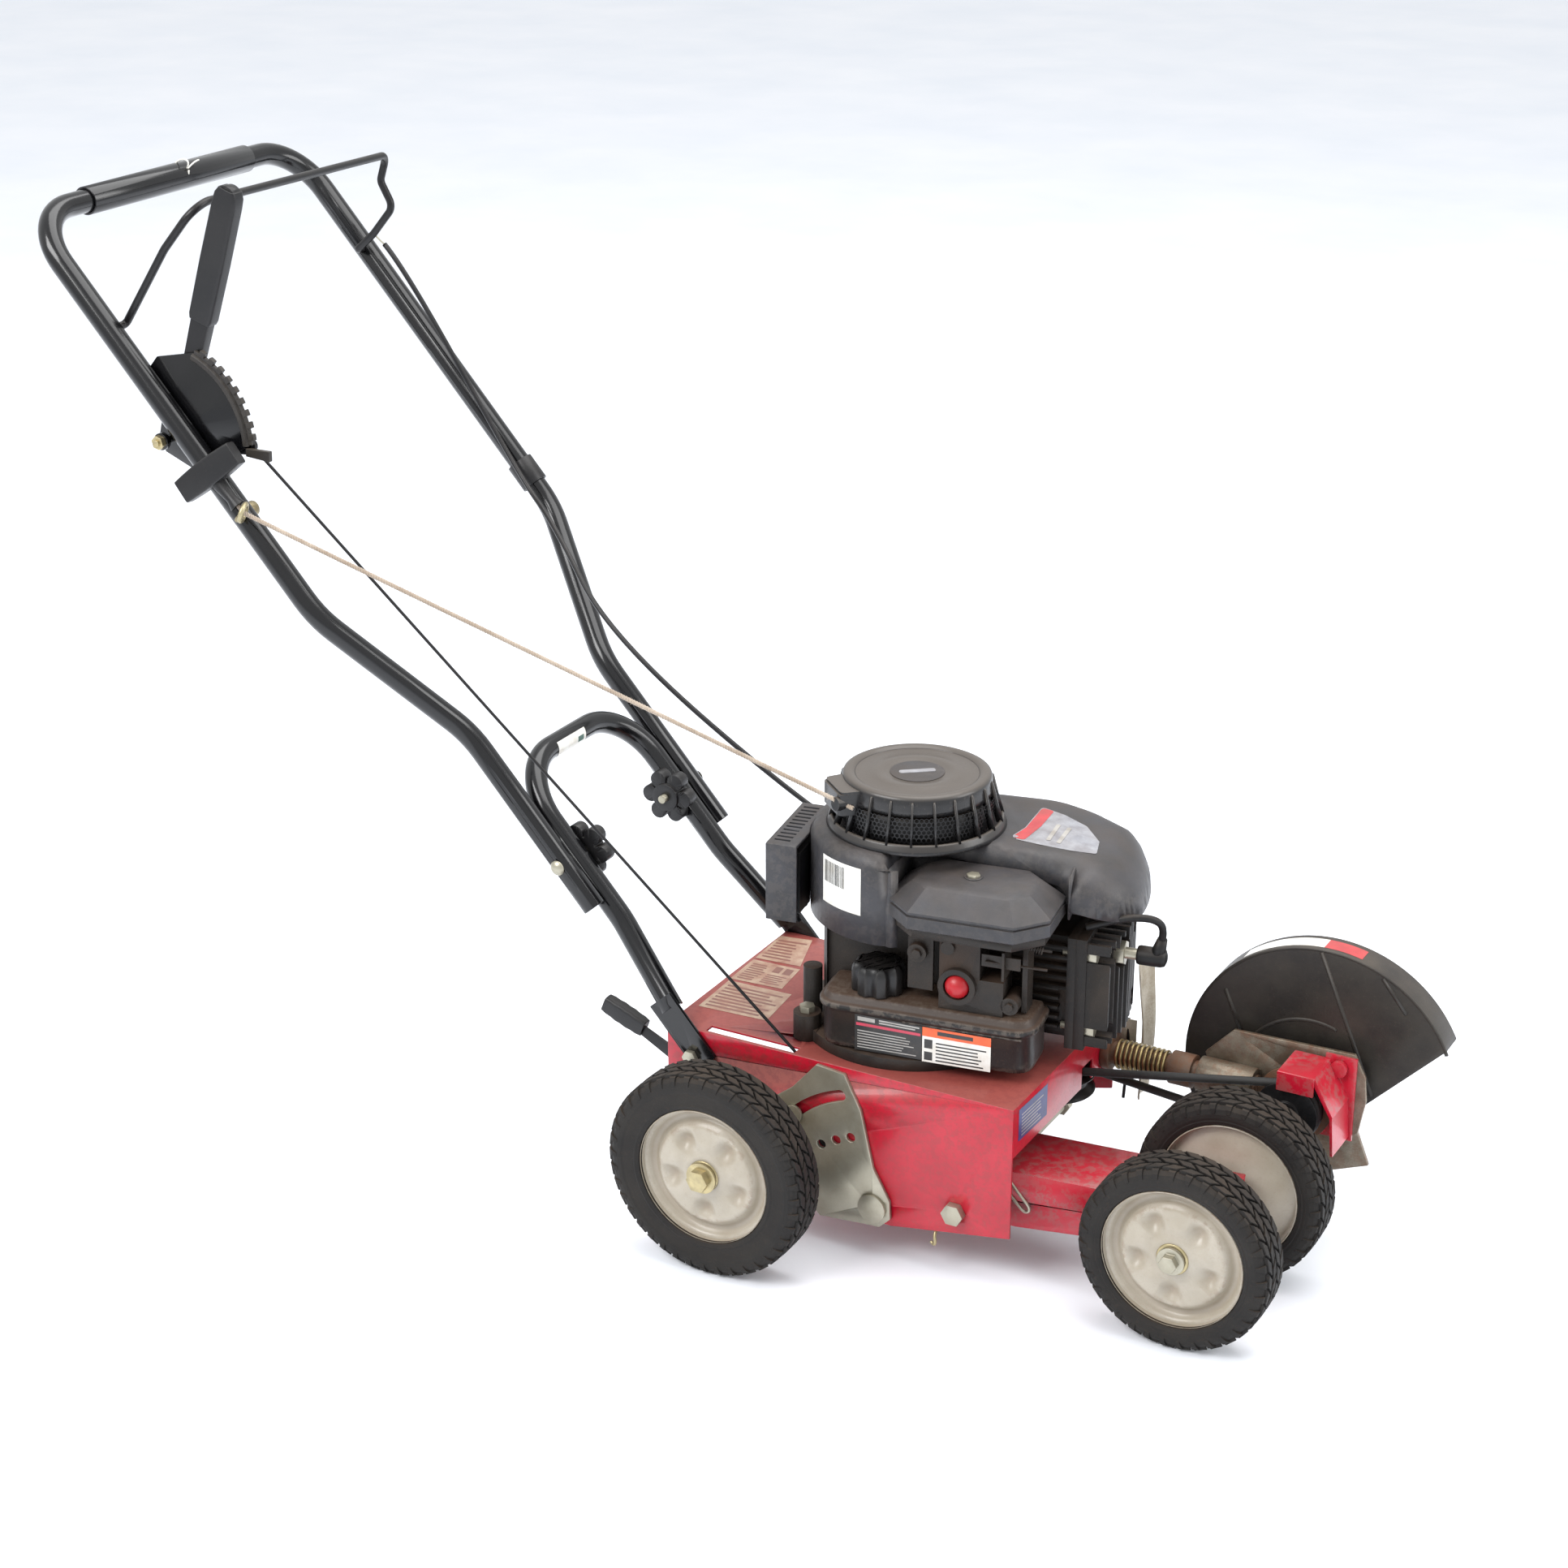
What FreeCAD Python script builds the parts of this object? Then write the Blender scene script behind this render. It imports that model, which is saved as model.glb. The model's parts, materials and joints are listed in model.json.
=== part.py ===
"""Walk-behind lawn edger: four wheels, pressed-steel deck, vertical-shaft engine, tilting blade head.

Frame: +X forward, +Y to the operator's left, +Z up, millimetres.
X = 0 and Y = 0 lie at the middle of the whole machine and Z = 0 is the ground.
"""
import FreeCAD
import Part
import math
import os
import Sketcher
from FreeCAD import Placement, Rotation, Vector

os.makedirs("parts", exist_ok=True)
doc = FreeCAD.newDocument("lawn_edger")

# ---------------------------------------------------------------- driving dimensions
SHEET = {
    "rear_axle_x": 79.0, "wheelbase": 420.3, "rear_wheel_r": 101.6, "front_wheel_r": 90.0,
    "tyre_width": 44.5, "rim_r": 65.5, "rear_track_half": 205.75, "front_right_y": -116.5,
    "front_left_y": 18.2, "axle_r": 6.35, "pin_gap": 0.08, "body_gap": 0.4,
    "deck_back": -22.0, "deck_front": 336.0, "deck_half": 116.0, "deck_top": 185.0,
    "sheet_steel": 2.4, "apron_depth": 50.0, "slot_back": 18.0, "slot_front": 112.0,
    "slot_y": -106.5, "slot_wide": 11.0,
    "engine_x": 178.0, "engine_yaw": 9.0, "flange_r": 104.0, "flange_high": 12.0,
    "crankcase_r": 84.0, "housing_low": 305.0, "housing_high": 390.0, "housing_r": 97.0,
    "nose_reach": 110.0, "nose_r": 103.0, "recoil_base_r": 76.0, "recoil_top_r": 65.0,
    "recoil_high": 440.0, "crank_r": 11.0, "tank_high": 250.0,
    "cleaner_low": 336.0, "cap_r": 25.0,
    "arm_y": 94.0, "arm_height": 150.0, "arm_r": 11.0, "spindle_x": 527.0,
    "spindle_height": 147.0, "spindle_r": 6.0, "pulley_y": 72.5, "guard_r": 131.0,
    "guard_wall_y": 122.0, "guard_deep": 30.0, "blade_half": 93.0, "blade_wide": 50.0,
    "belt_r": 4.0, "drive_pulley_r": 36.0, "belt_height": 124.0,
    "tube_r": 11.1, "tube_wall": 1.6, "handle_foot_x": -9.4,
    "grip_x": -646.0, "grip_z": 898.9, "grip_half": 198.4,
    "bail_r": 3.8, "rod_r": 1.5, "rope_r": 2.3, "curb_pivot_x": 199.0, "curb_pivot_z": 50.0,
}
sheet = doc.addObject("Spreadsheet::Sheet", "sheet")
for row, (alias, number) in enumerate(SHEET.items(), start=1):
    sheet.set(f"A{row}", alias)
    sheet.set(f"B{row}", str(number))
    sheet.setAlias(f"B{row}", alias)
doc.recompute()


class Size:
    """A number together with the spreadsheet formula that it comes from."""

    def __init__(self, value, text):
        self.value = float(value)
        self.text = text

    def __add__(self, other):
        other = size(other)
        return Size(self.value + other.value, f"({self.text} + {other.text})")

    def __sub__(self, other):
        other = size(other)
        return Size(self.value - other.value, f"({self.text} - {other.text})")

    def __mul__(self, other):
        other = size(other)
        return Size(self.value * other.value, f"({self.text} * {other.text})")

    def __neg__(self):
        return Size(0.0, "0") - self

    def __radd__(self, other):
        return size(other) + self

    def __rsub__(self, other):
        return size(other) - self

    def __rmul__(self, other):
        return size(other) * self

    def __float__(self):
        return self.value


def size(number):
    """Wraps a plain number so that it can stand in a formula."""
    return number if isinstance(number, Size) else Size(number, f"{float(number):.4f}")


D = {alias: Size(sheet.get(alias), f"sheet.{alias}") for alias in SHEET}
V = {alias: D[alias].value for alias in SHEET}

# ---------------------------------------------------------------- finished sub-parts
finished = []


def finish(obj, label):
    """Names a finished sub-part; its label is its file name."""
    obj.Label = label
    finished.append(obj)
    return obj


def place(obj, base, axis=Vector(0, 0, 1), angle=0.0):
    """Places an object with every coordinate bound to its formula."""
    obj.Placement = Placement(Vector(*(float(part) for part in base)), Rotation(axis, float(angle)))
    for letter, part in zip("xyz", base):
        if isinstance(part, Size):
            obj.setExpression(f"Placement.Base.{letter}", part.text)
    if isinstance(angle, Size):
        obj.setExpression("Placement.Rotation.Angle", angle.text)
    return obj


X_AXIS, Y_AXIS, Z_AXIS = Vector(1, 0, 0), Vector(0, 1, 0), Vector(0, 0, 1)
ALONG_Y = (X_AXIS, -90.0)       # local Z becomes +Y


def new_body():
    return doc.addObject("PartDesign::Body", "body")


def sketch_on(body, role, name, lift=0.0):
    """A sketch on one of the body's own origin planes."""
    sketch = body.newObject("Sketcher::SketchObject", name)
    plane = next(f for f in body.Origin.OriginFeatures if f.Role == role)
    sketch.AttachmentSupport = (plane, [""])
    sketch.MapMode = "FlatFace"
    sketch.AttachmentOffset = Placement(Vector(0, 0, float(lift)), Rotation())
    if isinstance(lift, Size):
        sketch.setExpression("AttachmentOffset.Base.z", lift.text)
    return sketch


def pin_point(sketch, geometry, position, kind, number):
    """Fixes one coordinate of a sketch point, by a constraint bound to its formula."""
    if abs(float(number)) < 1e-9 and not isinstance(number, Size):
        axis = -2 if kind == "DistanceX" else -1
        sketch.addConstraint(Sketcher.Constraint("PointOnObject", geometry, position, axis))
        return
    index = sketch.addConstraint(Sketcher.Constraint(kind, -1, 1, geometry, position, float(number)))
    if isinstance(number, Size):
        sketch.setExpression(f"Constraints[{index}]", number.text)


def outline(sketch, points):
    """A closed polygon whose corners are fixed by dimensions."""
    corners = [Vector(float(u), float(v), 0) for u, v in points]
    start = sketch.GeometryCount
    for first, second in zip(corners, corners[1:] + corners[:1]):
        sketch.addGeometry(Part.LineSegment(first, second), False)
    count = len(corners)
    for index in range(count):
        following = start + (index + 1) % count
        sketch.addConstraint(Sketcher.Constraint("Coincident", start + index, 2, following, 1))
    for index, (u, v) in enumerate(points):
        pin_point(sketch, start + index, 1, "DistanceX", u)
        pin_point(sketch, start + index, 1, "DistanceY", v)


def ring(sketch, centre, radius):
    """A circle fixed by its centre and radius."""
    middle = Vector(float(centre[0]), float(centre[1]), 0)
    index = sketch.addGeometry(Part.Circle(middle, Z_AXIS, float(radius)), False)
    pin_point(sketch, index, 3, "DistanceX", centre[0])
    pin_point(sketch, index, 3, "DistanceY", centre[1])
    row = sketch.addConstraint(Sketcher.Constraint("Radius", index, float(radius)))
    if isinstance(radius, Size):
        sketch.setExpression(f"Constraints[{row}]", radius.text)


def pad(body, sketch, length):
    feature = body.newObject("PartDesign::Pad", "pad")
    feature.Profile = sketch
    feature.Length = float(length)
    if isinstance(length, Size):
        feature.setExpression("Length", length.text)
    return feature


def turned(label, profile, base, turn=(Z_AXIS, 0.0)):
    """A turned piece: profile holds (radius, height) corners, revolved about local Z."""
    body = new_body()
    sketch = sketch_on(body, "XZ_Plane", "profile")
    outline(sketch, profile)
    feature = body.newObject("PartDesign::Revolution", "revolution")
    feature.Profile = sketch
    feature.ReferenceAxis = (sketch, ["V_Axis"])
    feature.Angle = 360.0
    place(body, base, *turn)
    return finish(body, label)


def plate(label, points, thick, base, turn=(Z_AXIS, 0.0), circles=()):
    """A flat plate with round holes; circles holds (u, v, radius)."""
    body = new_body()
    sketch = sketch_on(body, "XY_Plane", "outline")
    outline(sketch, points)
    for u, v, radius in circles:
        ring(sketch, (u, v), radius)
    pad(body, sketch, thick)
    place(body, base, *turn)
    return finish(body, label)


def block(corner, dims):
    """A parametric box between a low corner and its three lengths."""
    obj = doc.addObject("Part::Box", "block")
    for name, length in zip(("Length", "Width", "Height"), dims):
        setattr(obj, name, float(length))
        if isinstance(length, Size):
            obj.setExpression(name, length.text)
    return place(obj, corner)


def rod(base, radius, length, turn=(Z_AXIS, 0.0)):
    """A parametric cylinder."""
    obj = doc.addObject("Part::Cylinder", "rod")
    obj.Radius = float(radius)
    obj.Height = float(length)
    if isinstance(radius, Size):
        obj.setExpression("Radius", radius.text)
    if isinstance(length, Size):
        obj.setExpression("Height", length.text)
    return place(obj, base, *turn)


def fused(*pieces):
    obj = doc.addObject("Part::MultiFuse", "fused")
    obj.Shapes = list(pieces)
    return obj


def cut(solid, *tools):
    obj = doc.addObject("Part::Cut", "cut")
    obj.Base = solid
    obj.Tool = tools[0] if len(tools) == 1 else fused(*tools)
    return obj


def shaped(label, shape):
    """A sub-part whose shape comes from Part's own functions."""
    obj = doc.addObject("Part::Feature", label)
    obj.Shape = shape
    return finish(obj, label)


def bent_line(points, bend):
    """A wire of straight runs joined by tangent arcs of one radius (or one for each corner)."""
    points = [Vector(*p) for p in points]
    bends = bend if isinstance(bend, (list, tuple)) else [bend] * (len(points) - 2)
    edges = []
    start = points[0]
    for before, corner, after, radius in zip(points, points[1:], points[2:], bends):
        inward = (before - corner).normalize()
        outward = (after - corner).normalize()
        half = inward.getAngle(outward) / 2
        reach = radius / math.tan(half)
        first = corner + inward * reach
        last = corner + outward * reach
        centre = corner + (inward + outward).normalize() * (radius / math.sin(half))
        middle = centre + (corner - centre).normalize() * radius
        edges.append(Part.makeLine(start, first))
        edges.append(Part.Arc(first, middle, last).toShape())
        start = last
    edges.append(Part.makeLine(start, points[-1]))
    return Part.Wire(edges)


def tube(points, bend, radius, inner=0.0):
    """A round bar or tube swept along a bent line."""
    spine = bent_line(points, bend)
    heading = Vector(*points[1]) - Vector(*points[0])
    solids = []
    for r in (radius, inner):
        if r <= 0:
            continue
        section = Part.Wire(Part.makeCircle(r, Vector(*points[0]), heading))
        solids.append(spine.makePipeShell([section], True, True, 2))
    return solids[0].cut(solids[1]) if len(solids) == 2 else solids[0]


def bar(start, end, radius):
    """A plain round bar between two points."""
    start, end = Vector(*start), Vector(*end)
    return Part.makeCylinder(radius, (end - start).Length, start, end - start)


def hexagon(base, direction, across, high):
    """A hexagonal bolt head or nut."""
    profile = Part.makePolygon([Vector(across / math.sqrt(3) * math.cos(math.radians(60 * k)),
                                       across / math.sqrt(3) * math.sin(math.radians(60 * k)), 0)
                                for k in range(7)])
    solid = Part.Face(profile).extrude(Vector(0, 0, high))
    solid.Placement = Placement(Vector(*base), Rotation(Z_AXIS, Vector(*direction)))
    return solid


def bolt(base, direction, radius, length, across=13.0, head=5.5):
    """A hexagon-headed bolt: the head stands on base, the shank runs the other way."""
    shank = Part.makeCylinder(radius, length, Vector(*base), Vector(*direction) * -1)
    return hexagon(base, direction, across, head).fuse(shank)


# ---------------------------------------------------------------- wheels and axles
gap = D["pin_gap"]


def wheel(name, wheel_r, x, y):
    """One wheel: a pressed steel disc with a hub, and a rubber tyre on it."""
    half = D["tyre_width"] * 0.5
    bore = D["axle_r"] + gap
    rim_half = half * 0.78
    steel = D["sheet_steel"]
    rim = [(bore, -half * 0.9), (bore + 7, -half * 0.9), (bore + 7, -4), (44, -2), (52, -9),
           (D["rim_r"] - steel, -9), (D["rim_r"] - steel, -rim_half), (D["rim_r"], -rim_half),
           (D["rim_r"], rim_half), (D["rim_r"] - steel, rim_half), (D["rim_r"] - steel, -6),
           (53, -6), (45, 1), (bore + 7, -1), (bore + 7, half * 0.9), (bore, half * 0.9)]
    turned(f"{name}_rim", rim, (x, y, wheel_r), ALONG_Y)
    rubber = [(D["rim_r"], -half * 0.82), (D["rim_r"] + 3, -half), (wheel_r - 9, -half),
              (wheel_r - 2.5, -half * 0.8), (wheel_r, -half * 0.4), (wheel_r, half * 0.4),
              (wheel_r - 2.5, half * 0.8), (wheel_r - 9, half), (D["rim_r"] + 3, half),
              (D["rim_r"], half * 0.82)]
    turned(f"{name}_tyre", rubber, (x, y, wheel_r), ALONG_Y)


front_axle_x = D["rear_axle_x"] + D["wheelbase"]
wheel("rear_right", D["rear_wheel_r"], D["rear_axle_x"], -D["rear_track_half"])
wheel("rear_left", D["rear_wheel_r"], D["rear_axle_x"], D["rear_track_half"])
wheel("front_right", D["front_wheel_r"], front_axle_x, D["front_right_y"])
wheel("front_left", D["front_wheel_r"], front_axle_x, D["front_left_y"])


def axle(x, z, outer_y, inner_y, side):
    """A stub axle: washer, hexagon head, shank and a spacer that stops the wheel."""
    head = bolt((x, outer_y + side * 3.0, z), (0, side, 0), V["axle_r"], abs(outer_y - inner_y) + 3.0,
                19.0, 8.0)
    washer = Part.makeCylinder(15.0, 2.5, Vector(x, outer_y + side * 0.5, z), Vector(0, side, 0))
    return head.fuse(washer)


rear_x = V["rear_axle_x"]
half_tyre = V["tyre_width"] / 2
hub_half = half_tyre * 0.9
rear_hub_out = V["rear_track_half"] + hub_half
rear_hub_in = V["rear_track_half"] - hub_half
plate_thick = 4.0
plate_outer = V["deck_half"] + V["body_gap"] + plate_thick
right_axle = axle(rear_x, V["rear_wheel_r"], -rear_hub_out, -plate_outer - 0.5, -1)
right_spacer = Part.makeCylinder(11.0, rear_hub_in - plate_outer - 0.5,
                                 Vector(rear_x, -rear_hub_in + 0.5, V["rear_wheel_r"]), Y_AXIS)
shaped("rear_right_axle", right_axle.fuse(right_spacer))
left_axle = axle(rear_x, V["rear_wheel_r"], rear_hub_out, V["deck_half"] + 0.5, 1)
left_spacer = Part.makeCylinder(11.0, rear_hub_in - V["deck_half"] - 1.0,
                                Vector(rear_x, rear_hub_in - 0.5, V["rear_wheel_r"]), Y_AXIS * -1)
rear_left_axle = left_axle.fuse(left_spacer)

# ---------------------------------------------------------------- front arm and its axle
front_x = rear_x + V["wheelbase"]
front_z = V["front_wheel_r"]
arm_right, arm_left, arm_steel = -88.0, -10.0, 3.0
arm_pivot = Vector(281.0, 0, 66.0)
rod_pin = Vector(150.0, -97.0, 80.0)


def side_view(points, y0, y1):
    """A solid whose outline is drawn in X and Z and which runs from y0 to y1."""
    face = Part.Face(Part.makePolygon([Vector(x, y0, z) for x, z in points + points[:1]]))
    return face.extrude(Vector(0, y1 - y0, 0))


def round_y(x, z, radius, y0, y1):
    """A round bar or hole along Y."""
    return Part.makeCylinder(radius, y1 - y0, Vector(x, y0, z), Y_AXIS)


arm_outside = [(225, 50), (225, 100), (front_x + 19, 118), (front_x + 19, 76), (330, 50)]
arm_inside = [(220, 40), (220, 97 - 0.3), (front_x + 25, 115.3), (front_x + 25, 40)]
front_arm = side_view(arm_outside, arm_right, arm_left)
front_arm = front_arm.cut(side_view(arm_inside, arm_right + arm_steel, arm_left - arm_steel))
rear_lug = side_view([(138, 68), (138, 92), (240, 100), (240, 52), (225, 52)], arm_right - 3.2, arm_right)
front_arm = front_arm.fuse(rear_lug)
front_arm = front_arm.cut(round_y(front_x, front_z, V["axle_r"] + 0.05, -120, 20))
front_arm = front_arm.cut(round_y(arm_pivot.x, arm_pivot.z, 6.43, -120, 20))
front_arm = front_arm.cut(round_y(rod_pin.x, rod_pin.z, 3.4, -120, -80))
shaped("front_arm", front_arm)

axle_right = V["front_right_y"] - hub_half
axle_left = V["front_left_y"] + hub_half
front_axle = round_y(front_x, front_z, V["axle_r"], axle_right - 3.0, axle_left + 3.0)
front_axle = front_axle.multiFuse([
    hexagon((front_x, axle_right - 3.0, front_z), (0, -1, 0), 15.0, 7.0),
    hexagon((front_x, axle_left + 3.0, front_z), (0, 1, 0), 15.0, 7.0),
    round_y(front_x, front_z, 13.0, axle_right - 3.0, axle_right - 0.5),
    round_y(front_x, front_z, 13.0, axle_left + 0.5, axle_left + 3.0),
    round_y(front_x, front_z, 11.0, V["front_right_y"] + hub_half + 0.5, arm_right - 0.05),
    round_y(front_x, front_z, 11.0, arm_left + 0.05, V["front_left_y"] - hub_half - 0.5)])
shaped("front_axle", front_axle)

# ---------------------------------------------------------------- deck
back, front, half, top = V["deck_back"], V["deck_front"], V["deck_half"], V["deck_top"]
steel = V["sheet_steel"]
curb_x, curb_z = V["curb_pivot_x"], V["curb_pivot_z"]
side_outline = [(back, top), (front, top), (front, 53), (216, 33), (130, 33), (back, 130)]
left_outline = [(back, top), (front, top), (front, 100), (216, 70), (130, 60), (40, 84), (back, 130)]
deck_top = block((D["deck_back"], -D["deck_half"], D["deck_top"] - D["sheet_steel"]),
                 (D["deck_front"] - D["deck_back"], D["deck_half"] * 2, D["sheet_steel"]))
apron = block((D["deck_front"] - D["sheet_steel"], -D["deck_half"], D["deck_top"] - D["apron_depth"]),
              (D["sheet_steel"], D["deck_half"] * 2, D["apron_depth"]))
side_panels = []
for points, y0 in ((side_outline, -half), (left_outline, half - steel)):
    panel = doc.addObject("Part::Feature", "panel")
    panel.Shape = side_view(points, y0, y0 + steel)
    side_panels.append(panel)
crank_hole = rod((D["engine_x"], 0, 170), 46.0, 40)
rod_slot = block((D["slot_back"], D["slot_y"] - D["slot_wide"] * 0.5, 170),
                 (D["slot_front"] - D["slot_back"], D["slot_wide"], 40))
side_holes = [rod((x, -130, z), radius, 260, ALONG_Y) for x, z, radius in
              ((arm_pivot.x, arm_pivot.z, 6.43), (6, 158, 4.1))]
near_holes = [rod((x, -130, z), radius, 30, ALONG_Y) for x, z, radius in
              ((curb_x, curb_z, 6.43), (145, 102, 5.0))]
far_holes = [rod((rear_x, 100, V["rear_wheel_r"]), V["axle_r"] + 0.05, 30, ALONG_Y)]
arm_hole = rod((300, D["arm_y"], D["arm_height"]), D["arm_r"] + 0.05, 60, (Y_AXIS, 90.0))
flange_bolts = [(-83.0, -64.0), (-60.0, 82.0), (84.0, 68.0)]


def engine_point(u, v, z=0.0):
    """A point given in the engine's own turned axes."""
    turn = math.radians(V["engine_yaw"])
    x = V["engine_x"] + u * math.cos(turn) - v * math.sin(turn)
    return Vector(x, u * math.sin(turn) + v * math.cos(turn), z)


stud_holes = []
for u, v in flange_bolts:
    point = engine_point(u, v)
    stud_holes.append(rod((point.x, point.y, 170), 4.1, 40))
deck_solid = fused(deck_top, apron, *side_panels)
belt_notch = block((front - 10, 38, 120), (20, 24, 36))
all_holes = side_holes + near_holes + far_holes + stud_holes
finish(cut(deck_solid, crank_hole, rod_slot, arm_hole, belt_notch, *all_holes),
       "deck_pan")

flap_thick = 1.6
flap = side_view([(352, 238), (354.5, 238), (361, 150), (374, 46), (370.5, 46), (358, 150)], 119, 133)
foot = Part.makeBox(354 - 330, flap_thick, 26, Vector(331, half + 0.05, 150))
leaf = Part.makeBox(26, 17, flap_thick, Vector(331, half + 0.05, 176))
shaped("debris_flap", flap.fuse(foot).fuse(leaf))

# ---------------------------------------------------------------- handle, lower part
lean = Vector(V["grip_x"] - V["handle_foot_x"], 0, V["grip_z"] - 188.0)
lean.normalize()


def on_handle(distance, y):
    """A point on the handle's straight side line, measured up from the foot."""
    start = Vector(V["handle_foot_x"], y, 188.0)
    return start + lean * distance


tube_r = V["tube_r"]
leg_half, foot_half, lower_top, fold_up = 94.5, 111.3, 285.0, 184.0
upper_half = leg_half + 2 * tube_r + 0.8
lower_points = [on_handle(14, -foot_half), on_handle(110, -leg_half), on_handle(lower_top, -leg_half),
                on_handle(lower_top, leg_half), on_handle(110, leg_half), on_handle(14, foot_half)]
lower = tube(lower_points, [90, 62, 62, 90], tube_r)
hole_line = on_handle(fold_up, 0)
foot_plates = []
for side in (-1, 1):
    y0 = half + V["body_gap"] if side > 0 else -half - V["body_gap"] - 3.6
    flat = Part.makeBox(28, 3.6, 74, Vector(-14, y0, -46))
    blend = Part.makeBox(20, 8.0, 22, Vector(-10, y0 if side < 0 else y0 - 4.4, 6))
    flat = flat.fuse(blend)
    flat.Placement = Placement(on_handle(0, 0), Rotation(Z_AXIS, lean)).multiply(flat.Placement)
    foot_plates.append(flat)
lower = lower.multiFuse(foot_plates)
deck_space = Part.makeBox(400, 2 * half + 2 * V["body_gap"], 120,
                          Vector(-50, -half - V["body_gap"], top + V["body_gap"] - 120))
lower = lower.cut(deck_space)
lower = lower.cut(round_y(6, 158, 4.1, -140, 140)).cut(round_y(hole_line.x, hole_line.z, 4.05, -140, 140))
shaped("handle_lower", lower)

# ---------------------------------------------------------------- handle, upper part
waist, wide = 245.0 + 90.0, 498.0
total = (Vector(V["grip_x"], 0, V["grip_z"]) - Vector(V["handle_foot_x"], 0, 188.0)).Length
grip_half = V["grip_half"]
upper_side = [on_handle(fold_up - 50, -upper_half), on_handle(waist, -upper_half),
              on_handle(wide, -197.5), on_handle(total, -grip_half)]
upper_points = upper_side + [Vector(p.x, -p.y, p.z) for p in reversed(upper_side)]
upper = tube(upper_points, [90, 90, 55, 55, 90, 90], tube_r, tube_r - V["tube_wall"])
bail_pivot = Vector(-557.0, 0, 804.0)
upper = upper.cut(round_y(hole_line.x, hole_line.z, 4.08, -140, 140))
for d in (712, 745):
    rivet_at = on_handle(d, 0)
    upper = upper.cut(round_y(rivet_at.x, rivet_at.z, 2.55, -196, -180))
for y0 in (-193.0, 181.0):
    upper = upper.cut(round_y(bail_pivot.x, bail_pivot.z, V["bail_r"] + 0.4, y0, y0 + 12.0))
shaped("handle_upper", upper)
grip_line = [on_handle(total, -120), on_handle(total, 120)]
sleeve = bar(*grip_line, tube_r + 2.4).cut(bar(*grip_line, tube_r + 0.02))
shaped("handle_grip", sleeve)

handle_bolt_out = upper_half + tube_r + 0.1
knob_in = leg_half - tube_r - 0.5
fold_bolts = []
for side in (-1, 1):
    shank = Part.makeCylinder(4.0, handle_bolt_out - knob_in + 22, Vector(hole_line.x, side * (knob_in - 22),
                                                                         hole_line.z), Y_AXIS * side)
    dome = Part.makeSphere(9.0, Vector(hole_line.x, side * (handle_bolt_out - 5.0), hole_line.z))
    keep = Part.makeBox(30, 10, 30, Vector(hole_line.x - 15, handle_bolt_out if side > 0 else
                                           -handle_bolt_out - 10, hole_line.z - 15))
    fold_bolts.append(shank.fuse(dome.common(keep)))
for side, name in ((-1, "star_knob_right"), (1, "star_knob_left")):
    hub = Part.makeCylinder(14.0, 16.0, Vector(0, 0, 0), Z_AXIS)
    lobes = []
    for k in range(6):
        angle = math.radians(60 * k)
        lobes.append(Part.makeCylinder(8.5, 13.0, Vector(18.5 * math.cos(angle), 18.5 * math.sin(angle), 0)))
    knob = hub.multiFuse(lobes).cut(Part.makeCylinder(4.08, 40, Vector(0, 0, -10)))
    knob.Placement = Placement(Vector(hole_line.x, side * knob_in, hole_line.z),
                               Rotation(Z_AXIS, Y_AXIS * -side))
    shaped(name, knob)

# ---------------------------------------------------------------- bail
bail_points = [(bail_pivot.x, -191.0, bail_pivot.z), (bail_pivot.x, -179, bail_pivot.z), (-504.5, -179, 879),
               (-466, -176, 924), (-514, 179, 905), (-523, 179, 878), (-509, 179, 853), (-535, 179, 823),
               (bail_pivot.x, 179, bail_pivot.z),
               (bail_pivot.x, 191.0, bail_pivot.z)]
bail = tube(bail_points, [5, 60, 22, 12, 9, 12, 12, 5], V["bail_r"])
shaped("bail", bail)

# ---------------------------------------------------------------- depth lever, quadrant and rod
lever_pivot = Vector(-505.0, 0, 705.0)
rod_hole = Vector(-420.0, 0, 707.0)
plate_in = -grip_half + tube_r + 1.2
arc_edge = [(lever_pivot.x + 91 * math.cos(math.radians(a)), lever_pivot.z + 91 * math.sin(math.radians(a)))
            for a in (68, 52, 36, 20, 4)]
quadrant_back = [(-470, 672), (-515, 690), (-521, 705), (-517, 720), (-530, 765)]
quadrant_outline = [(-517, 780)] + arc_edge + quadrant_back
quadrant = side_view(quadrant_outline, plate_in, plate_in + 2.5)
rivet = round_y(lever_pivot.x, lever_pivot.z, 4.0, plate_in - 14, plate_in + 7.0)
rivet = rivet.fuse(round_y(lever_pivot.x, lever_pivot.z, 8.0, plate_in - 18, plate_in - 13))
tube_rivets = [round_y(on_handle(d, 0).x, on_handle(d, 0).z, 2.5, -192, plate_in + 2.9) for d in (712, 745)]
shaped("quadrant", quadrant.multiFuse([rivet] + tube_rivets))
lever_y = plate_in + 3.2


def lever_link(start, end, wide_start, wide_end, y0, thick):
    """A flat link between two round ends, lying in the XZ plane."""
    along = end - start
    across = Vector(-along.z, 0, along.x).normalize()
    corners = [start + across * wide_start, start - across * wide_start,
               end - across * wide_end, end + across * wide_end]
    body = side_view([(c.x, c.z) for c in corners], y0, y0 + thick)
    ends = [round_y(start.x, start.z, wide_start, y0, y0 + thick),
            round_y(end.x, end.z, wide_end, y0, y0 + thick)]
    return body.multiFuse(ends)


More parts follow.
